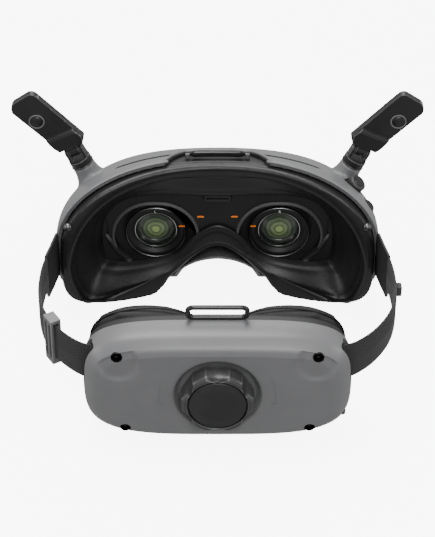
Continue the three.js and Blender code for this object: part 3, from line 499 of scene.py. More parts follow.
class Surface:
    """The housing's outer surface from above, so that top pieces can be drawn flat and laid on to it."""

    def __init__(self, hull):
        faces = [tuple(face.vertices) for face in hull.data.polygons]
        self.tree = BVHTree.FromPolygons([tuple(p) for p in points_of(hull)], faces)

    def height(self, x, y):
        inside = max(y, STATIONS[0][0] + 1.5 - STATIONS[0][1] * (x / RIM_AT) ** 2)
        hit = self.tree.ray_cast(Vector((x, inside, 130)), Vector((0, 0, -1)))[0]
        return hit.z if hit else STATIONS[0][3]

    def drape(self, points):
        """Points whose z is their height over the surface, put there."""
        return np.array([(x, y, z + self.height(x, y)) for x, y, z in points])

    def lay(self, obj):
        set_points(obj, self.drape(points_of(obj)))
        return obj


def dense(outline, count):
    """The closed outline walked round in this many equal steps."""
    ends = np.vstack([outline, outline[:1]])
    gone = np.concatenate([[0], np.cumsum(np.linalg.norm(np.diff(ends, axis=0), axis=1))])
    along = np.linspace(0, gone[-1], count, endpoint=False)
    return np.column_stack([np.interp(along, gone, ends[:, k]) for k in range(2)])


def recess_outline(grow=0.0):
    """The strap bar's recess from above: a trapezium that opens through the housing's rear rim."""
    rear, front, end = (RECESS[key] + grow for key in ("rear", "front", "end"))
    start = RECESS["start"]
    path = [(-rear, start), (rear, start)]
    for side in (1, -1):
        a, b, c = (np.array(p) for p in ((side * rear, start), (side * front, end), (0, end)))
        into, away = ((p - b) / np.linalg.norm(p - b) * RECESS["corner"] for p in (a, c))
        bend = [(1 - t) ** 2 * (b + into) + 2 * t * (1 - t) * b + t * t * (b + away)
                for t in np.linspace(0, 1, 6)]
        path += bend[::side]
    return dense(np.array(path), 240)


def vent_outline(side, inset=0.0):
    length, width = VENT["length"] - 2 * inset, VENT["width"] - 2 * inset
    outline = dense(round_outline(length, width, width / 2 - 0.01, 6), 120)
    turn = -side * VENT["turn"]
    c, t = math.cos(turn), math.sin(turn)
    return outline @ np.array(((c, t), (-t, c))) + (side * VENT["x"], VENT["y"])


def tilted(place_at):
    return Matrix.Translation(place_at) @ STICK_TILT.to_matrix().to_4x4()


def disc(radius, steps=48):
    t = np.linspace(0, 2 * np.pi, steps, endpoint=False)
    return np.column_stack([radius * np.cos(t), radius * np.sin(t)])


def housing():
    outer = spline(STATIONS, 8)
    inner = outer[outer[:, 0] <= STATIONS[4][0]].copy()[::-1]
    inner[0, 0] -= WALL
    edge = shell_ring((FRONT_Y, 7, 56, 41.5, 0)) + (0, 0, 2.6)
    rings = [shell_ring(s) for s in outer] + [edge, edge - (0, WALL, 0)]
    rings += [shell_ring(s, WALL) for s in inner]
    hull = loft("housing", rings, loops=True)
    solid = loft("solid", [shell_ring(s) for s in outer])
    nose_wall = cut(nose_tunnel("nose_wall", NOSE["wall"]), solid, operation="INTERSECT")
    join(hull, nose_wall, horn(-1), horn(1))
    modify(hull, "REMESH", mode="VOXEL", voxel_size=0.75 * MM)
    soften_horns(hull)
    surface = Surface(hull)
    vents = [surface.lay(prism(f"vent_{side}", vent_outline(side), -7, 7, plane="XY")) for _, side in SIDES]
    slots = [prism(f"slot_{side}", round_outline(19.6, 11.6, 5) + (side * EYE_X, 53), -3, 5, plane="XY")
             for _, side in SIDES]
    cut(hull, nose_tunnel("nose_space", 0), *vents, *slots,
        surface.lay(prism("recess_space", recess_outline(), -7, 7, plane="XY")),
        prism("stick_well", disc(5.7), -9, 8, tilted(STICK), "XY"),
        prism("back_well", disc(4.1), -7, 7, tilted(BACK_BUTTON), "XY"),
        prism("floor_space", round_outline(96, 15.5, 1, 3) + (0, 80.25), -3, 5, plane="XY"))
    finish_piece(shaded(hull, 35), "goggles", GREY, "shell_grey", "main_shell")
    return surface


def soften_horns(hull):
    """Rounds the whole moulding a little, and the horns' roots a lot."""
    modify(hull, "SMOOTH", factor=0.5, iterations=4)
    group = hull.vertex_groups.new(name="roots")
    count = len(hull.data.vertices)
    co = np.empty(count * 3)
    hull.data.vertices.foreach_get("co", co)
    co = co.reshape(-1, 3) / MM - (0, SHIFT, 0)
    for _, side in SIDES:
        top = np.array((side * COLLAR.x, COLLAR.y, COLLAR.z))
        axis = np.array((side * math.sin(LEAN), 0, math.cos(LEAN)))
        below = -(co - top) @ axis
        away = np.linalg.norm(co - top + below[:, None] * axis, axis=1)
        weight = smoothstep(below, 1.2, 3.5) * (1 - smoothstep(below, 16, 24))
        weight *= 1 - smoothstep(away, 14, 26)
        for level in (0.25, 0.5, 0.75, 1.0):
            chosen = np.nonzero((weight > level - 0.25) & (weight <= level))[0]
            group.add(chosen.tolist(), level, "REPLACE")
    modify(hull, "SMOOTH", factor=0.5, iterations=30, vertex_group="roots")
    hull.vertex_groups.clear()


def front_cover():
    """The glossy visor, with a rolled edge and a fine groove round its border."""
    y0 = FRONT_Y - 4.6
    sections = [(y0, 0), (y0 + 2.6, 0)]
    for a in np.radians((20, 40, 60, 75, 90)):
        sections.append((y0 + 2.6 + 1.8 * math.sin(a), 2.5 * (1 - math.cos(a))))
    for inset, depth in ((5.0, 0), (5.3, 0.5), (6.1, 0.5), (6.4, 0)):
        sections.append((y0 + 4.4 - depth, inset))
    sections += [(y0 + 4.4, inset) for inset in (9, 12, 15, 18)]
    rings = []
    for y, inset in sections:
        rings.append(shell_ring((y, 7, 55.4 - inset, 40.9 - inset, 0)) + (0, 0, 2.9 + inset / 2))
    obj = loft("front_visor", rings, sharp=30)
    slits = [prism(f"slit_{i}", round_outline(1.6, 9, 0.79, 6) + (x, 21), FRONT_Y - 2.2, FRONT_Y + 2)
             for i, x in enumerate(np.arange(-4, 5) * 3.4)]
    cut(obj, *slits)
    return finish_piece(shaded(obj, 30), "goggles", COVER, "black_gloss", "front_cover")


def top_details(surface):
    """The strap bar in its recess, the bead along the rim, the vents, the strap studs and the base cover."""
    floor, lip = -2.2, -0.5
    rings = []
    for grow, level in ((-0.3, -3.6), (-0.3, lip), (-0.9, lip), (-1.2, floor)):
        outline = recess_outline(grow)
        rim = STATIONS[0][0] + 0.8 - STATIONS[0][1] * (outline[:, 0] / RIM_AT) ** 2
        outline[:, 1] = np.maximum(outline[:, 1], rim)
        z = np.where(outline[:, 1] < rim + 1.5, min(level, floor), level)
        rings.append(surface.drape(np.column_stack([outline, z])))
    finish_piece(loft("strap_bar_recess", rings), "goggles", PANEL, "black_matte", "top_bar_tray")
    rings = []
    for inset, z in ((1.4, -1.9), (0.3, -1.2), (0, 0), (0.3, 1.0), (1.0, 1.6), (2.2, 1.8)):
        outline = round_outline(27.6 - 2 * inset, 5.6 - 2 * inset, 2.7 - inset, 8)
        outline = dense(outline, 160) + (0, TOP_BAR_Y)
        rings.append(surface.drape(np.column_stack([outline, np.full(len(outline), z)])))
    finish_piece(loft("strap_bar_top", rings), "goggles", GLOSS, "black_gloss", "top_strap_bar")
    for side in (-1, 1):
        outline = round_outline(2.2, 5.2, 0.9, 5) + (side * 15.1, TOP_BAR_Y - 0.4)
        foot = prism(f"bar_foot_{side}", outline, -2.6, 0.2, plane="XY")
        finish_piece(surface.lay(foot), "goggles", MATTE, "black_matte")
    finish_piece(tube("rear_rim_bead", rim_path(surface), 0.75, 10), "goggles", GREY, "shell_grey")
    for name, side in SIDES:
        vent_mesh(name, side, surface)
        stud = turned(f"{name}_strap_stud", [
            (0, -2.4), (0.7, -2.3), (1.5, -1.9), (2, -1.2), (2.25, -0.3), (2.1, 0.6), (1.6, 1.3), (1.15, 1.9),
            (1.1, 4), (0, 4)], (side * 74.4, 12, 57), 48)
        finish_piece(stud, "goggles", STEEL, "steel", f"{name}_strap_anchor")
    finish_piece(bevelled("base_cover", "base_grille", 0.2), "goggles", MATTE, "black_matte", "base_cover")


def rim_path(surface):
    """Along the housing's rear rim, and round the recess in its middle."""
    rim = shell_ring(STATIONS[0])
    half = rim[(rim[:, 2] > 40) & (rim[:, 0] > 25)]
    half = half[np.argsort(half[:, 0])] + (0, 0.3, 0.05)
    recess = recess_outline(0.5)
    arch = recess[(recess[:, 1] > 35.5) & (recess[:, 0] >= 0)]
    arch = arch[np.argsort(arch[:, 0] - arch[:, 1])]
    arch = surface.drape(np.column_stack([arch, np.full(len(arch), 0.05)]))
    right = np.vstack([arch, half])
    return np.vstack([right[::-1] * (-1, 1, 1), right[right[:, 0] > 0.1]])


def vent_mesh(name, side, surface):
    """The dark insert of a vent: a plate just under the surface with slanted slits."""
    plate = prism(f"{name}_vent_mesh", vent_outline(side, 0.1), -1.6, -0.25, plane="XY")
    turn = Matrix.Rotation(-side * VENT["turn"], 4, "Z")
    slits = []
    for i in range(-6, 7):
        spot = Vector((side * VENT["x"], VENT["y"], 0)) + turn @ Vector((i * 2.1, 0, 0))
        at = Matrix.Translation(spot) @ Matrix.Rotation(-side * VENT["turn"] + 0.5, 4, "Z")
        slits.append(prism(f"slit_{i}", round_outline(0.95, 3.4, 0.45, 4), -3, 0, at, "XY"))
    finish_piece(surface.lay(cut(plate, *slits)), "goggles", PANEL, "black_matte", f"{name}_vent_grille")


# ---- Face foam, frame and lens panel ----
FACE = ((0, 33.5, 77.4), (28, 30, 77.4), (54, 21, 71), (70.5, 13, 57.5), (78, 8.5, 37), (75.5, 11, 16),
        (67, 15, 2.8), (47, 22, 4.6), (27, 30.2, 10), (12.5, 35.6, 20.5), (0, 37.6, 26))
SEAT = ((0, 38, 61), (28, 38, 61.5), (48, 38, 57.5), (59, 38, 46), (62, 38, 31), (60, 38, 16.5),
        (52, 38, 13.8), (38, 38, 15), (22, 38, 20), (11, 38.5, 31), (0, 39, 37))


def full_loop(half, steps=16):
    """The half outline and its mirror image as one smooth loop, clockwise seen from behind."""
    right = np.array(half, float)
    left = right[1:-1][::-1] * (-1, 1, 1)
    return spline(np.vstack([right, left]), steps, closed=True)


def offset(loop, outward, forward=0.0):
    along = np.roll(loop, -1, axis=0) - np.roll(loop, 1, axis=0)
    normal = np.column_stack([-along[:, 2], np.zeros(len(loop)), along[:, 0]])
    normal /= np.linalg.norm(normal, axis=1)[:, None]
    return loop + normal * outward + (0, forward, 0)


LIP, PANEL_EDGE = full_loop(FACE), full_loop(SEAT)
MIDWAY = LIP + (PANEL_EDGE - LIP) * 0.45


def snug(loop, to_rim=False):
    """The lip's line moved out to the housing's inner edge, wherever that is close."""
    rim = shell_ring(STATIONS[0], WALL + 0.35, 720)
    out = []
    for p in loop:
        away = np.linalg.norm(rim[:, [0, 2]] - p[[0, 2]], axis=1)
        near = rim[np.argmin(away)]
        share = 1 - float(smoothstep(away.min(), 4.5, 9))
        out.append(p + (near - p) * (share, share if to_rim else 0, share))
    return np.array(out)


def face_foam():
    """The soft funnel: a rolled lip, a moulded channel just inside it and a hollow below the cheeks."""
    crest, rim = snug(LIP), snug(LIP, to_rim=True)
    controls = [
        offset(rim, -1.2, 3.4), offset(rim, 0, 1.2), offset(crest, 0.2, 0.9), offset(crest, -1.7, -1.0),
        offset(LIP, -4.2, -0.1), offset(MIDWAY, 0, -1.5), offset(PANEL_EDGE, -1.0, -1.9),
        offset(PANEL_EDGE, -1.8, -0.1), offset(MIDWAY, 0, 2.5)]
    steps = 10
    grid = spline(controls, steps, closed=True)
    section = np.roll(grid, -1, axis=0) - np.roll(grid, 1, axis=0)
    along = np.roll(grid, -1, axis=1) - np.roll(grid, 1, axis=1)
    normal = np.cross(section, along)
    normal /= np.linalg.norm(normal, axis=2)[:, :, None]
    at = np.arange(len(grid)) / steps
    outside = -1 if normal[45, 0, 1] > 0 else 1
    channel = 0.75 * np.exp(-((at - 4.45) / 0.09) ** 2) + 0.35 * np.exp(-((at - 5.75) / 0.08) ** 2)
    grid -= normal * channel[:, None, None] * outside
    obj = loft("face_foam_skin", list(grid), loops=True, sharp=70)
    return finish_piece(obj, "goggles", FOAM, "soft_black", "face_foam")


def eyecup_outline(grow=0.0):
    return round_outline(42 + 2 * grow, 39 + 2 * grow, 19.4 + grow, 16)


def lens_panel():
    """The dark plate behind the foam, with a rimmed oval opening for each eye."""
    edge = offset(PANEL_EDGE, -0.7)
    rings = []
    for y, inset in ((PANEL_Y + 2, 0), (PANEL_Y + 0.4, 0), (PANEL_Y, 0.4)):
        ring = offset(edge, -inset)
        ring[:, 1] = y
        rings.append(ring)
    obj = loft("lens_plate", rings, sharp=30)
    cutters = [prism(f"eye_space_{side}", eyecup_outline() + (side * EYE_X, EYE_Z + 1), PANEL_Y - 4,
                     PANEL_Y + 6) for _, side in SIDES]
    cutters.append(prism("card_space", round_outline(14.6, 4.2, 0.8) + (0, 55.5), PANEL_Y - 4, PANEL_Y + 6))
    for _, side in SIDES:
        slit = round_outline(0.9, 9, 0.44, 5) + (side * 56.6, 38)
        cutters.append(prism(f"side_slit_{side}", slit, PANEL_Y - 1, PANEL_Y + 0.9))
    cut(obj, *cutters)
    finish_piece(shaded(obj, 30), "goggles", PANEL, "black_matte", "lens_panel")
    finish_piece(bevelled("card_reader", "card_slot", 0.25), "goggles", CAP, "black_gloss", "card_reader")
    for name, side in SIDES:
        sections = [eyecup_outline(g) for g in (0.25, 0.1, 0.3, 0.9, 1.5, 1.7)]
        levels = (0.6, -0.6, -1.1, -1.2, -0.7, 0.3)
        rings = [np.column_stack([o[:, 0] + side * EYE_X, np.full(len(o), PANEL_Y + y), o[:, 1] + EYE_Z + 1])
                 for o, y in zip(sections, levels)]
        finish_piece(loft(f"{name}_eyecup_rim", rings, loops=True, sharp=60), "goggles", MATTE, "black_matte")
        ridge(name, side)
        mark = prism(f"{name}_panel_mark", round_outline(3.4, 0.9, 0.4, 5) + (side * 8.7, 44), PANEL_Y - 0.25,
                     PANEL_Y + 0.6)
        finish_piece(mark, "goggles", ORANGE, "black_matte")


def ridge(name, side):
    """The three-sided buttress at the outer, lower corner of an eye opening."""
    base = np.array([(57.6, 33), (56.4, 27.5), (50, 18.6), (44.5, 16), (47, 19.5), (52.6, 25.6),
                     (54.4, 30.6)])
    base = spline(np.column_stack([base[:, 0] * side, base[:, 1]]), 5, closed=True)
    middle = base.mean(axis=0)
    rings = []
    for share, y in ((1, 0.9), (1, -0.4), (0.82, -1.6), (0.5, -2.3), (0.2, -2.5)):
        o = middle + (base - middle) * share
        rings.append(np.column_stack([o[:, 0], np.full(len(o), PANEL_Y + y), o[:, 1]]))
    finish_piece(loft(f"{name}_eye_ridge", rings, sharp=60), "goggles", MATTE, "black_matte")


def eyes():
    for name, side in SIDES:
        centre = (side * EYE_X, 0, EYE_Z)
        y = EYE_REAR
        barrel = turned(f"{name}_barrel", [
            (13.2, y), (13.6, y - 0.05), (14.9, y), (15.4, y + 0.25), (15.5, y + 0.7), (15.6, y + 2.1),
            (16.2, y + 2.4), (18.6, y + 1.7), (20.4, y + 1.15), (21.2, y + 0.9), (21.6, y + 1.2),
            (21.5, y + 2), (14.5, y + 4), (14.5, 63), (11.2, 63), (11.2, y + 1.6), (11.6, y + 1.2),
            (12.6, y + 0.3)],
            centre, 128, sharp=25)
        finish_piece(barrel, f"{name}_eye", PANEL, "black_matte", f"{name}_lens_barrel")
        line = turned(f"{name}_seat_line", [(15.0, y - 0.05), (15.3, y - 0.25), (15.6, y), (15.6, y + 0.4),
                                            (15.1, y + 0.3)], centre, 128)
        finish_piece(line, f"{name}_eye", STEEL, "black_matte")
        ring = turned(f"{name}_bright_ring", [
            (10.4, y + 3.4), (10.42, y + 2.7), (10.6, y + 2.35), (10.9, y + 2.35), (11, y + 2.7),
            (11, y + 7.4), (10.4, y + 7.4)], centre, 128, sharp=30)
        finish_piece(ring, f"{name}_lens_cell", CHROME, "chrome_ring", f"{name}_lens_ring")
        arc = [(r, y + 3.2 + 1.9 * (r / 10.35) ** 2.2) for r in np.linspace(0, 10.35, 18)]
        lens = turned(f"{name}_glass", [*arc, (10.35, y + 7), (6, y + 8.2), (0, y + 9)], centre, 96, sharp=50)
        middle = tuple(float(v) for v in place([centre])[0])
        # The lens gets painted reflection rings round its own centre.
        painted_reflections = reflection_ringed_glass(f"{name}_coating", middle)
        finish_piece(lens, f"{name}_lens_cell", painted_reflections, "lens_glass", f"{name}_lens")
        outline = round_outline(3.0, 0.8, 0.38, 5) + (side * (EYE_X - 13.6), 35.2)
        mark = prism(f"{name}_eye_mark", outline, y - 0.3, y + 0.4)
        finish_piece(mark, f"{name}_eye", ORANGE, "black_matte")
        letter(name, side, y)
        finish_piece(bevelled(f"{name}_eye_carriage", f"{name}_eye_slide_block", 0.3), f"{name}_eye", MATTE,
                     "black_matte", f"{name}_eye_carriage")
        focus_dial(name, side)


def letter(name, side, y):
    """The side letter above a lens, a moulded mark 0.15 mm proud."""
    curve = bpy.data.curves.new(f"{name}_letter", "FONT")
    curve.body = name[0].upper()
    curve.size = 2.3 * MM
    curve.extrude = 0.1 * MM
    curve.align_x = "CENTER"
    text = bpy.data.objects.new(f"{name}_letter_text", curve)
    bpy.context.scene.collection.objects.link(text)
    bpy.context.view_layer.update()
    mesh = bpy.data.meshes.new_from_object(text)
    bpy.data.objects.remove(text)
    mesh.transform(Matrix.Translation(place([(side * EYE_X, y - 0.1, EYE_Z + 12.4)])[0])
                   @ Matrix.Rotation(math.pi / 2, 4, "X"))
    mesh.materials.clear()
    obj = bpy.data.objects.new(f"{name}_letter", mesh)
    bpy.context.scene.collection.objects.link(obj)
    finish_piece(obj, f"{name}_eye", LETTER, "black_matte")


def focus_dial(name, side):
    """The small ribbed dial under an eye: 14 ribs with rounded crowns."""
    t = np.linspace(0, 2 * np.pi, 168, endpoint=False)
    rings = []
    for z, depth, shrink in (
            (0.8, 0.3, 0.5), (1.2, 0.45, 0.1), (3.5, 0.5, 0), (5.8, 0.45, 0), (6.2, 0.3, 0.4)):
        r = 5 - shrink - depth * (0.5 - 0.5 * np.cos(14 * t)) ** 1.5
        rings.append(np.column_stack([side * EYE_X + r * np.cos(t), 53 + r * np.sin(t), np.full(168, z)]))
    finish_piece(loft(f"{name}_focus_dial", rings, sharp=35), f"{name}_focus", KNOB, "knob_black",
                 f"{name}_focus_knob")


# ---- Antennas and controls ----
def antennas():
    for name, side in SIDES:
        at = Matrix.Translation((side * COLLAR.x, COLLAR.y, COLLAR.z)) @ Matrix.Rotation(side * LEAN, 4, "Y")
        upright = (at.to_3x3() @ Matrix.Rotation(math.pi / 2, 3, "X")).to_quaternion()
        collar = remoulded(f"{name}_antenna_collar", f"{name}_collar", 0.22, 3)
        finish_piece(collar, f"{name}_collar", ANTENNA, "antenna_black", f"{name}_antenna_collar")
        seam = turned(f"{name}_collar_seam", [(5.2, 0.25), (5.9, 0.35), (6.0, 0.6), (5.9, 0.85), (5.2, 0.85)],
                      tuple(at.translation), 64, upright)
        finish_piece(seam, f"{name}_collar", STEEL, "antenna_black")
        paddle = remoulded(f"{name}_antenna_blade", f"{name}_paddle", 0.26, 5)
        finish_piece(paddle, f"{name}_antenna", ANTENNA, "antenna_black", f"{name}_antenna_blade")
        boss = at @ Matrix.Translation((side * (math.tan(SPLAY) * 24 + 3.2), -0.95, PIN_ABOVE + 24))
        profile = [(3.3, 0.3), (3.4, -0.25), (3.7, -0.4), (4.0, -0.25), (4.1, 0.3)]
        ring = turned(f"{name}_paddle_ring", profile, tuple(boss.translation), 48,
                      boss.to_3x3().to_quaternion())
        finish_piece(ring, f"{name}_antenna", ANTENNA, "antenna_black")
        pin = bevelled(f"{name}_antenna_pin", f"{name}_hinge_pin", 0.2)
        finish_piece(pin, f"{name}_collar", STEEL, "steel", f"{name}_antenna_pin")


def controls():
    turn = (STICK_TILT.to_matrix() @ Matrix.Rotation(math.pi / 2, 3, "X")).to_quaternion()
    cap = turned("stick_top", [
        (0, -0.5), (3.4, -0.5), (4.3, 0.4), (4.6, 1), (4.6, 2.7), (4.4, 3.3), (3.9, 3.7), (3.2, 3.6),
        (2.5, 3.1), (2.1, 3.05), (1.8, 3.4), (0.9, 3.5), (0, 3.5)], tuple(STICK), 64, turn)
    finish_piece(cap, "stick", MATTE, "black_matte", "stick_cap")
    button = turned("back_button_top", [
        (0, -3), (3.8, -3), (3.8, 1.3), (3.65, 1.9), (3.2, 2.25), (2.5, 2.15), (1.4, 1.95), (0, 1.9)],
        tuple(BACK_BUTTON), 64, turn)
    finish_piece(button, "back", MATTE, "black_matte", "back_button")


# ---- Straps ----
STRAP_ROUTE = ((80.4, 12.2), (82.2, 3), (85.4, -14), (85.6, -32), (82.2, -48), (74.4, -62), (65, -71.5),
               (57.4, -75))


def strap_line(side, steps=60):
    route = spline(STRAP_ROUTE, steps)
    along = np.gradient(route, axis=0)
    gone = np.concatenate([[0], np.cumsum(np.linalg.norm(np.diff(route, axis=0), axis=1))])
    direction = along / np.linalg.norm(along, axis=1)[:, None]
    outward = np.column_stack([-direction[:, 1], direction[:, 0]])
    sign = np.array((side, 1))
    return gone, route * sign, outward * sign


def band(name, side, start, end, half, z, thick, pitch=0.0, step=0.3):
    """A stretch of flat band between two distances along the route, with a modelled twill weave."""
    gone, route, outward = strap_line(side)
    along = np.arange(start, end + step / 2, step)
    centre = np.column_stack([np.interp(along, gone, route[:, k]) for k in range(2)])
    out = np.column_stack([np.interp(along, gone, outward[:, k]) for k in range(2)])
    across = np.linspace(-half, half, max(6, int(2 * half / step)))
    faces_at = [(a, 1) for a in across] + [(a, -1) for a in across[::-1]]
    rings = []
    for i, s in enumerate(along):
        ring = []
        for a, face in faces_at:
            rounding = math.sqrt(max(0.0, 1 - (abs(a) / (half + 0.25)) ** 10))
            lift = thick / 2 * rounding
            if pitch:
                lift += 0.11 * math.sin(2 * math.pi * (s + 0.8 * abs(a)) / pitch) * rounding
                lift -= 0.10 * (abs(a) > half - 1.6)
            x, y = centre[i] + out[i] * lift * face
            ring.append((x, y, z + a))
        rings.append(ring)
    return loft(name, rings, sharp=60), gone[-1]


def straps():
    pitch = 1.5
    rear_body = "rear_pack"
    for name, side in SIDES:
        total = strap_line(side)[0][-1]
        webbing, _ = band(f"{name}_webbing", side, 12, total, STRAP_HALF, STRAP_Z, STRAP_THICK - 0.4, pitch)
        finish_piece(webbing, None, WEBBING, "webbing", f"{name}_strap")
        tab, _ = band(f"{name}_strap_tab", side, 0, 19, TAB_HALF, STRAP_Z - 2, STRAP_THICK + 0.3)
        finish_piece(tab, None, TAB, "webbing")
        seams = stitches(name, side)
        finish_piece(seams, None, THREAD, "webbing")
        for piece in (webbing, tab, seams):
            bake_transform(piece)
    buckle = bevelled("strap_buckle", "tri_glide", 0.5, 3)
    finish_piece(buckle, rear_body, BUCKLE, "buckle_grey", "strap_buckle")
    clip = bevelled("strap_clip", "cable_clip", 0.5, 3)
    finish_piece(clip, "goggles", MATTE, "black_matte", "strap_clip")


def stitches(name, side):
    """Two rows of stitches across the sewn tab, each a small thread bead on the outer face."""
    gone, route, outward = strap_line(side)
    beads = []
    for row, s in enumerate((14.5, 16.5)):
        x, y = (np.interp(s, gone, route[:, k]) for k in range(2))
        out = np.array([np.interp(s, gone, outward[:, k]) for k in range(2)])
        for i, z in enumerate(np.linspace(-11.2, 7.2, 11)):
            face = STRAP_THICK / 2 + 0.2
            path = [(x + out[0] * (face - 0.15), y + out[1] * (face - 0.15), STRAP_Z + z - 0.6),
                    (x + out[0] * (face + 0.12), y + out[1] * (face + 0.12), STRAP_Z + z - 0.25),
                    (x + out[0] * (face + 0.12), y + out[1] * (face + 0.12), STRAP_Z + z + 0.25),
                    (x + out[0] * (face - 0.15), y + out[1] * (face - 0.15), STRAP_Z + z + 0.6)]
            beads.append(tube(f"bead_{row}_{i}", path, 0.2, 6))
    return merged(f"{name}_tab_stitches", beads)


# ---- Rear battery pack ----
def pack_ring(inset, y, points=320):
    t = np.linspace(0, 2 * np.pi, points, endpoint=False)
    c, s = np.cos(t), np.sin(t)
    squareness = np.where(s > 0, 4, 3.5)
    mid = PACK_HEIGHT / 2
    x = (PACK_HALF - inset) * np.sign(c) * np.abs(c) ** (2 / squareness)
    z = mid + (mid - inset) * np.sign(s) * np.abs(s) ** (2 / squareness)
    return np.column_stack([x, np.full(points, y), z])


def knob_circle(r, y, points=320):
    t = np.linspace(0, 2 * np.pi, points, endpoint=False)
    return np.column_stack([r * np.cos(t), np.full(points, y), KNOB_Z + r * np.sin(t)])


def pack_shell():
    """The grey rear housing: rolled edges, a conical dish in a flat back, and soft pockets at the screws."""
    rolled = spline([(0.4, PACK_EDGE), (0, PACK_EDGE - 5), (1, PACK_REAR + 7), (3.4, PACK_REAR + 3.2),
                     (5.6, PACK_REAR + 1.1), (8.4, PACK_REAR)], 8)
    rings = [pack_ring(inset, y) for inset, y in rolled]
    rim = knob_circle(20.5 + 0.8, PACK_REAR)
    rings += [rings[-1] * (1 - f) + rim * f for f in np.linspace(0.06, 1, 22)]
    rings += [knob_circle(r, y) for r, y in ((20.7, PACK_REAR + 0.15), (20.1, PACK_REAR + 0.7),
                                             (18.6, -81.6), (17.9, -81.05), (17, -81), (3.5, -81),
                                             (3.5, -79.2), (19.2, -79.2), (21.5, PACK_REAR + 1.8))]
    rings += [pack_ring(*at) for at in ((8.6, PACK_REAR + 1.8), (7, PACK_REAR + 2.9), (4.6, PACK_REAR + 5),
                                        (1.8, PACK_REAR + 8), (1.8, PACK_EDGE))]
    for ring in rings[30:-5]:
        for x, z in SCREWS[:2]:
            away = np.hypot(ring[:, 0] - x * 0.985, ring[:, 2] - (z - 3))
            ring[:, 1] += 1.1 * (1 - smoothstep(away, 7.5, 10.5)) * (ring[:, 1] < PACK_REAR + 3)
    obj = loft("pack_housing", rings, loops=True, sharp=35)
    cutters = [turned(f"socket_{i}", [(0, -90), (2.7, -90), (2.6, PACK_REAR + 12), (0, PACK_REAR + 12)],
                      (x, 0, z), 48) for i, (x, z) in enumerate(SCREWS)]
    for _, side in SIDES:
        mouth = round_outline(7.8, 23, 2) + (-74.5, 42)
        cutters.append(prism(f"mouth_{side}", mouth, side * PACK_HALF - 8, side * PACK_HALF + 8, plane="YZ"))
    turn = Matrix.Rotation(-math.pi / 2, 3, "Z").to_quaternion()
    cutters.append(turned("button_space", [(0, 0), (3.7, 0), (3.7, 12), (0, 12)], (PACK_HALF - 9, -76, 15),
                          48, turn))
    cut(obj, *cutters)
    return finish_piece(shaded(obj, 35), "rear_pack", GREY, "shell_grey", "pack_shell")


def pack_arrows():
    """A raised arc with an arrow head on each side of the knob, one for each way to turn it."""
    parts = []
    for _, side in SIDES:
        angles = np.radians(np.linspace(-10, 24, 18))
        path = [(side * 27.5 * math.cos(a), PACK_REAR + 0.12, KNOB_Z + 27.5 * math.sin(a)) for a in angles]
        parts.append(tube(f"arc_{side}", path, 0.38, 8))
        tip = np.array([(-1.9, 0), (1.9, 0), (0.2, -3.2)]) * (side, 1)
        spot = np.array((side * 27.1, KNOB_Z - 4.6))
        parts.append(prism(f"head_{side}", tip + spot, PACK_REAR - 0.22, PACK_REAR + 0.5))
    finish_piece(merged("knob_arrows", parts), "rear_pack", GREY, "shell_grey")


def pack_details():
    y = PACK_EDGE + GAP
    sections = spline([(1, y), (1.1, y + 2), (1.3, y + 4), (2.4, y + 6.4), (4.4, y + 7.7), (10, y + 8.3)], 5)
    rings = [pack_ring(inset, at, 240) for inset, at in sections]
    rings += [pack_ring(*at, 240) for at in ((10, y + 6.8), (5.2, y + 6.4), (3.4, y + 3.6), (2.8, y))]
    closed = [pack_ring(30, y + 8.3, 240), *rings[len(sections) - 1::-1], *rings[:len(sections) - 1:-1],
              pack_ring(30, y + 6.8, 240)]
    band_piece = loft("pack_inner_band", closed, sharp=50)
    finish_piece(band_piece, "rear_pack", MATTE, "black_matte", "pack_inner_shell")
    for i, (x, z) in enumerate(SCREWS):
        name = ("upper_left", "upper_right", "lower_left", "lower_right")[i]
        top = PACK_REAR + 3.4
        head = turned(f"screw_{name}", [
            (0, top + 1.2), (1.0, top + 1.1), (1.05, top + 0.1), (1.3, top - 0.1), (1.9, top),
            (2.3, top + 0.4), (2.3, top + 1.4), (1.2, top + 1.5), (1.2, top + 4.4), (0, top + 4.4)],
            (x, 0, z), 48)
        finish_piece(head, "rear_pack", SCREW, "steel", f"pack_screw_{name}")
        profile = [(2.4, top + 1), (2.4, top - 2), (2.55, top - 2.2), (2.58, top + 1)]
        liner = turned(f"screw_liner_{name}", profile, (x, 0, z), 48)
        finish_piece(liner, "rear_pack", SCREW, "black_matte")
    lean = Matrix.Rotation(STRAP_LOOP["tilt"], 3, "X")
    outline = round_outline(STRAP_LOOP["width"], STRAP_LOOP["height"], STRAP_LOOP["corner"], 8)
    middle = Vector((0, STRAP_LOOP["y"], STRAP_LOOP["z"]))
    path = [tuple(lean @ Vector((x, 0, z)) + middle) for x, z in outline]
    rod = tube("strap_bar_rear", path, STRAP_LOOP["rod"], 16, closed=True)
    finish_piece(rod, "rear_pack", GLOSS, "black_gloss", "rear_strap_bar")
    finish_piece(bevelled("power_button", "power_key", 0.3), "power", MATTE, "black_matte", "power_button")


def dipped(ring):
    """The ring with its top edge sunk in the middle, which parts the pad into two humps."""
    share = np.exp(-(ring[:, 0] / PAD_DIP_WIDTH) ** 2) * np.clip((ring[:, 2] - PACK_HEIGHT / 2) / 20, 0, 1)
    ring[:, 2] -= PAD_DIP * share
    return ring


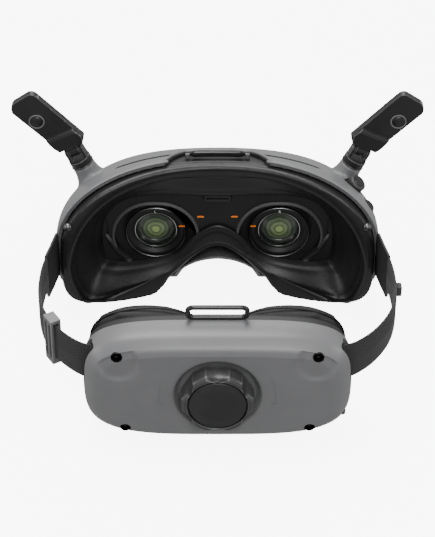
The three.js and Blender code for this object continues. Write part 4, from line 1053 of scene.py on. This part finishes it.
def head_pad():
    """The cushion for the back of the head: two lobes swollen as cloth and trimmed flat on the pack."""
    rear = PACK_EDGE + GAP + 8.9
    start = 0.8
    rings = []
    for inset, forward in spline([(2.4, 0), (1.4, 2.6), (1.4, 6), (4, 9.4), (10, 11.2), (18, 11.8)], 4):
        rings.append(dipped(pack_ring(inset + start, rear + forward, 200)))
    pad = loft("head_pad", rings)
    modify(pad, "REMESH", mode="VOXEL", voxel_size=4 * MM)
    inflate(pad, pressure=4.0, cap=2.2 * MM)
    modify(pad, "SUBSURF", levels=2)
    co = points_of(pad)
    co[:, 1] = np.maximum(co[:, 1], rear)
    flat = np.abs(co[:, 0]) / 9
    co[:, 1] -= 2.0 * np.exp(-flat ** 2) * smoothstep(co[:, 1], rear + 7, rear + 11)
    across = np.exp(-((co[:, 2] - 24) / 1.3) ** 2) * smoothstep(co[:, 1], rear + 6, rear + 10)
    co[:, 1] -= 1.1 * across
    co[:, 2] = np.clip(co[:, 2], 1.2, PACK_HEIGHT - 0.2)
    co[:, 0] = np.clip(co[:, 0], -PACK_HALF + 1, PACK_HALF - 1)
    set_points(pad, co)
    shaded(pad, 80)
    finish_piece(pad, "rear_pack", PAD, "soft_black", "pack_pad")
    seam = tube("head_pad_piping", dipped(pack_ring(2.6, rear + 3.4, 260)), 0.5, 8, closed=True)
    finish_piece(seam, "rear_pack", PAD, "soft_black")


def points_of(obj):
    co = np.empty(len(obj.data.vertices) * 3)
    obj.data.vertices.foreach_get("co", co)
    return co.reshape(-1, 3) / MM - (0, SHIFT, 0)


def set_points(obj, co):
    obj.data.vertices.foreach_set("co", place(co).ravel())
    obj.data.update()


def inflate(obj, pressure, cap):
    """Swells a closed mesh as cloth under pressure, with no point moving further than the cap, in metres."""
    scene = bpy.context.scene
    count = len(obj.data.vertices)
    before = np.empty(count * 3)
    obj.data.vertices.foreach_get("co", before)
    cloth = obj.modifiers.new("cloth", "CLOTH")
    cloth.settings.use_pressure = True
    cloth.settings.uniform_pressure_force = pressure
    cloth.settings.effector_weights.gravity = 0
    cloth.settings.quality = 5
    cloth.collision_settings.use_self_collision = False
    for step in range(1, 21):
        scene.frame_set(step)
    applied(obj)
    scene.frame_set(1)
    after = np.empty(count * 3)
    obj.data.vertices.foreach_get("co", after)
    before, after = before.reshape(-1, 3), after.reshape(-1, 3)
    moved = after - before
    far = np.linalg.norm(moved, axis=1)
    moved *= np.minimum(1, cap / np.maximum(far, 1e-9))[:, None]
    obj.data.vertices.foreach_set("co", (before + moved).ravel())
    obj.data.update()


def knob_ring(r, scallop, y, points=360):
    t = np.linspace(0, 2 * np.pi, points, endpoint=False)
    reach = r - scallop * np.clip(np.cos(6 * (t - np.pi / 2)) + 0.35, 0, None) / 1.35
    return np.column_stack([reach * np.cos(t), np.full(points, y), KNOB_Z + reach * np.sin(t)])


def tension_knob():
    rear = KNOB_REAR
    rings = [knob_ring(r, s, y) for r, s, y in (
        (KNOB_R - 1, SCALLOP * 0.4, KNOB_FRONT - 0.9), (KNOB_R - 0.5, SCALLOP * 0.4, KNOB_FRONT - 1.2),
        (KNOB_R, SCALLOP * 0.45, KNOB_FRONT - 3), (KNOB_R, SCALLOP * 0.7, rear + 2.6),
        (KNOB_R - 0.2, SCALLOP * 0.85, rear + 1.5), (KNOB_R - 0.6, SCALLOP * 0.95, rear + 0.8),
        (KNOB_R - 1.2, SCALLOP * 0.85, rear + 0.3), (KNOB_R - 1.7, SCALLOP * 0.7, rear + 0.05),
        (KNOB_R - 2.3, SCALLOP * 0.4, rear + 0.1),
        (CAP_R + 0.75, 0, rear + 0.2), (CAP_R + 0.35, 0, rear + 0.6), (CAP_R + 0.3, 0, rear + 1.8),
        (3.15, 0, rear + 1.8), (3.15, 0, KNOB_FRONT - 0.9))]
    finish_piece(loft("knob_grip", rings, loops=True, sharp=30), "knob", KNOB, "knob_black", "tension_knob")
    cap = turned("knob_face", [
        (0, rear + 1.25), (4, rear + 1.2), (8, rear + 1.05), (9.8, rear + 0.85), (10.9, rear + 0.4),
        (11.6, rear + 0.1), (12.3, rear + 0.0), (12.9, rear + 0.1), (13.3, rear + 0.35), (13.5, rear + 0.8),
        (13.5, rear + 1.6), (0, rear + 1.6)], (0, 0, KNOB_Z), 160)
    finish_piece(cap, "knob", CAP, "knob_black", "tension_knob_cap")


# ---- Inner pieces that keep their CAD shape, with new materials ----
def inner_pieces():
    kept = {
        "face_frame": MATTE, "fan_housing": MATTE, "fan_rotor": MATTE, "main_board": BOARD,
        "heat_sink": ALUMINIUM,
        "battery_board": BOARD, "knob_shaft": MATTE, "stick_plunger": MATTE, "stick_gimbal": MATTE}
    for name, _ in SIDES:
        kept.update({f"{name}_display": GLOSS, f"{name}_battery_cell": CELL, f"{name}_rack": PANEL})
    for node, material in kept.items():
        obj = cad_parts[node]
        obj.data.materials.clear()
        obj.data.materials.append(material)


# ---- Stage, light and camera ----
def studio():
    white, _, shader = new_material("floor_white")
    shader.inputs["Base Color"].default_value = (0.8, 0.8, 0.8, 1)
    shader.inputs["Roughness"].default_value = 0.9
    shader.inputs["Emission Color"].default_value = (1, 1, 1, 1)
    shader.inputs["Emission Strength"].default_value = 7
    mesh = bpy.data.meshes.new("floor")
    mesh.from_pydata([(-6, -6, 0), (6, -6, 0), (6, 6, 0), (-6, 6, 0)], [], [(0, 1, 2, 3)])
    floor = bpy.data.objects.new("floor", mesh)
    mesh.materials.append(white)
    bpy.context.scene.collection.objects.link(floor)
    floor.visible_diffuse = False
    floor.visible_glossy = False
    for name, power, size, spot in (
            ("key", 13, 0.6, (-0.15, 0.15, 1.1)), ("front", 9, 0.5, (0.1, -0.9, 0.9)),
            ("fill_left", 3, 0.4, (-1.0, -0.2, 0.45)), ("fill_right", 3, 0.4, (1.0, -0.2, 0.45)),
            ("rear", 4, 0.6, (0, 0.9, 0.7))):
        light = bpy.data.lights.new(name, "AREA")
        light.energy, light.size = power, size
        lamp = bpy.data.objects.new(name, light)
        bpy.context.scene.collection.objects.link(lamp)
        lamp.location = spot
        lamp.rotation_euler = (Vector(spot) - Vector((0, 0, 0.04))).to_track_quat("Z", "Y").to_euler()
    world = bpy.data.worlds.new("studio")
    world.use_nodes = True
    world.node_tree.nodes["Background"].inputs["Color"].default_value = (1, 1, 1, 1)
    world.node_tree.nodes["Background"].inputs["Strength"].default_value = 0.6
    bpy.context.scene.world = world


def camera():
    data = bpy.data.cameras.new("camera")
    data.sensor_fit, data.sensor_width, data.lens = "HORIZONTAL", 36, 157
    cam = bpy.data.objects.new("camera", data)
    bpy.context.scene.collection.objects.link(cam)
    elevation, distance, aim = math.radians(37), 0.947, Vector((0, 0, 0.0382))
    back = Vector((0, -math.cos(elevation), math.sin(elevation)))
    cam.location = aim + back * distance
    cam.rotation_euler = back.to_track_quat("Z", "Y").to_euler()
    bpy.context.scene.camera = cam


camera()
studio()
top_surface = housing()
front_cover()
top_details(top_surface)
face_foam()
lens_panel()
eyes()
antennas()
controls()
straps()
pack_shell()
pack_arrows()
pack_details()
head_pad()
tension_knob()
inner_pieces()
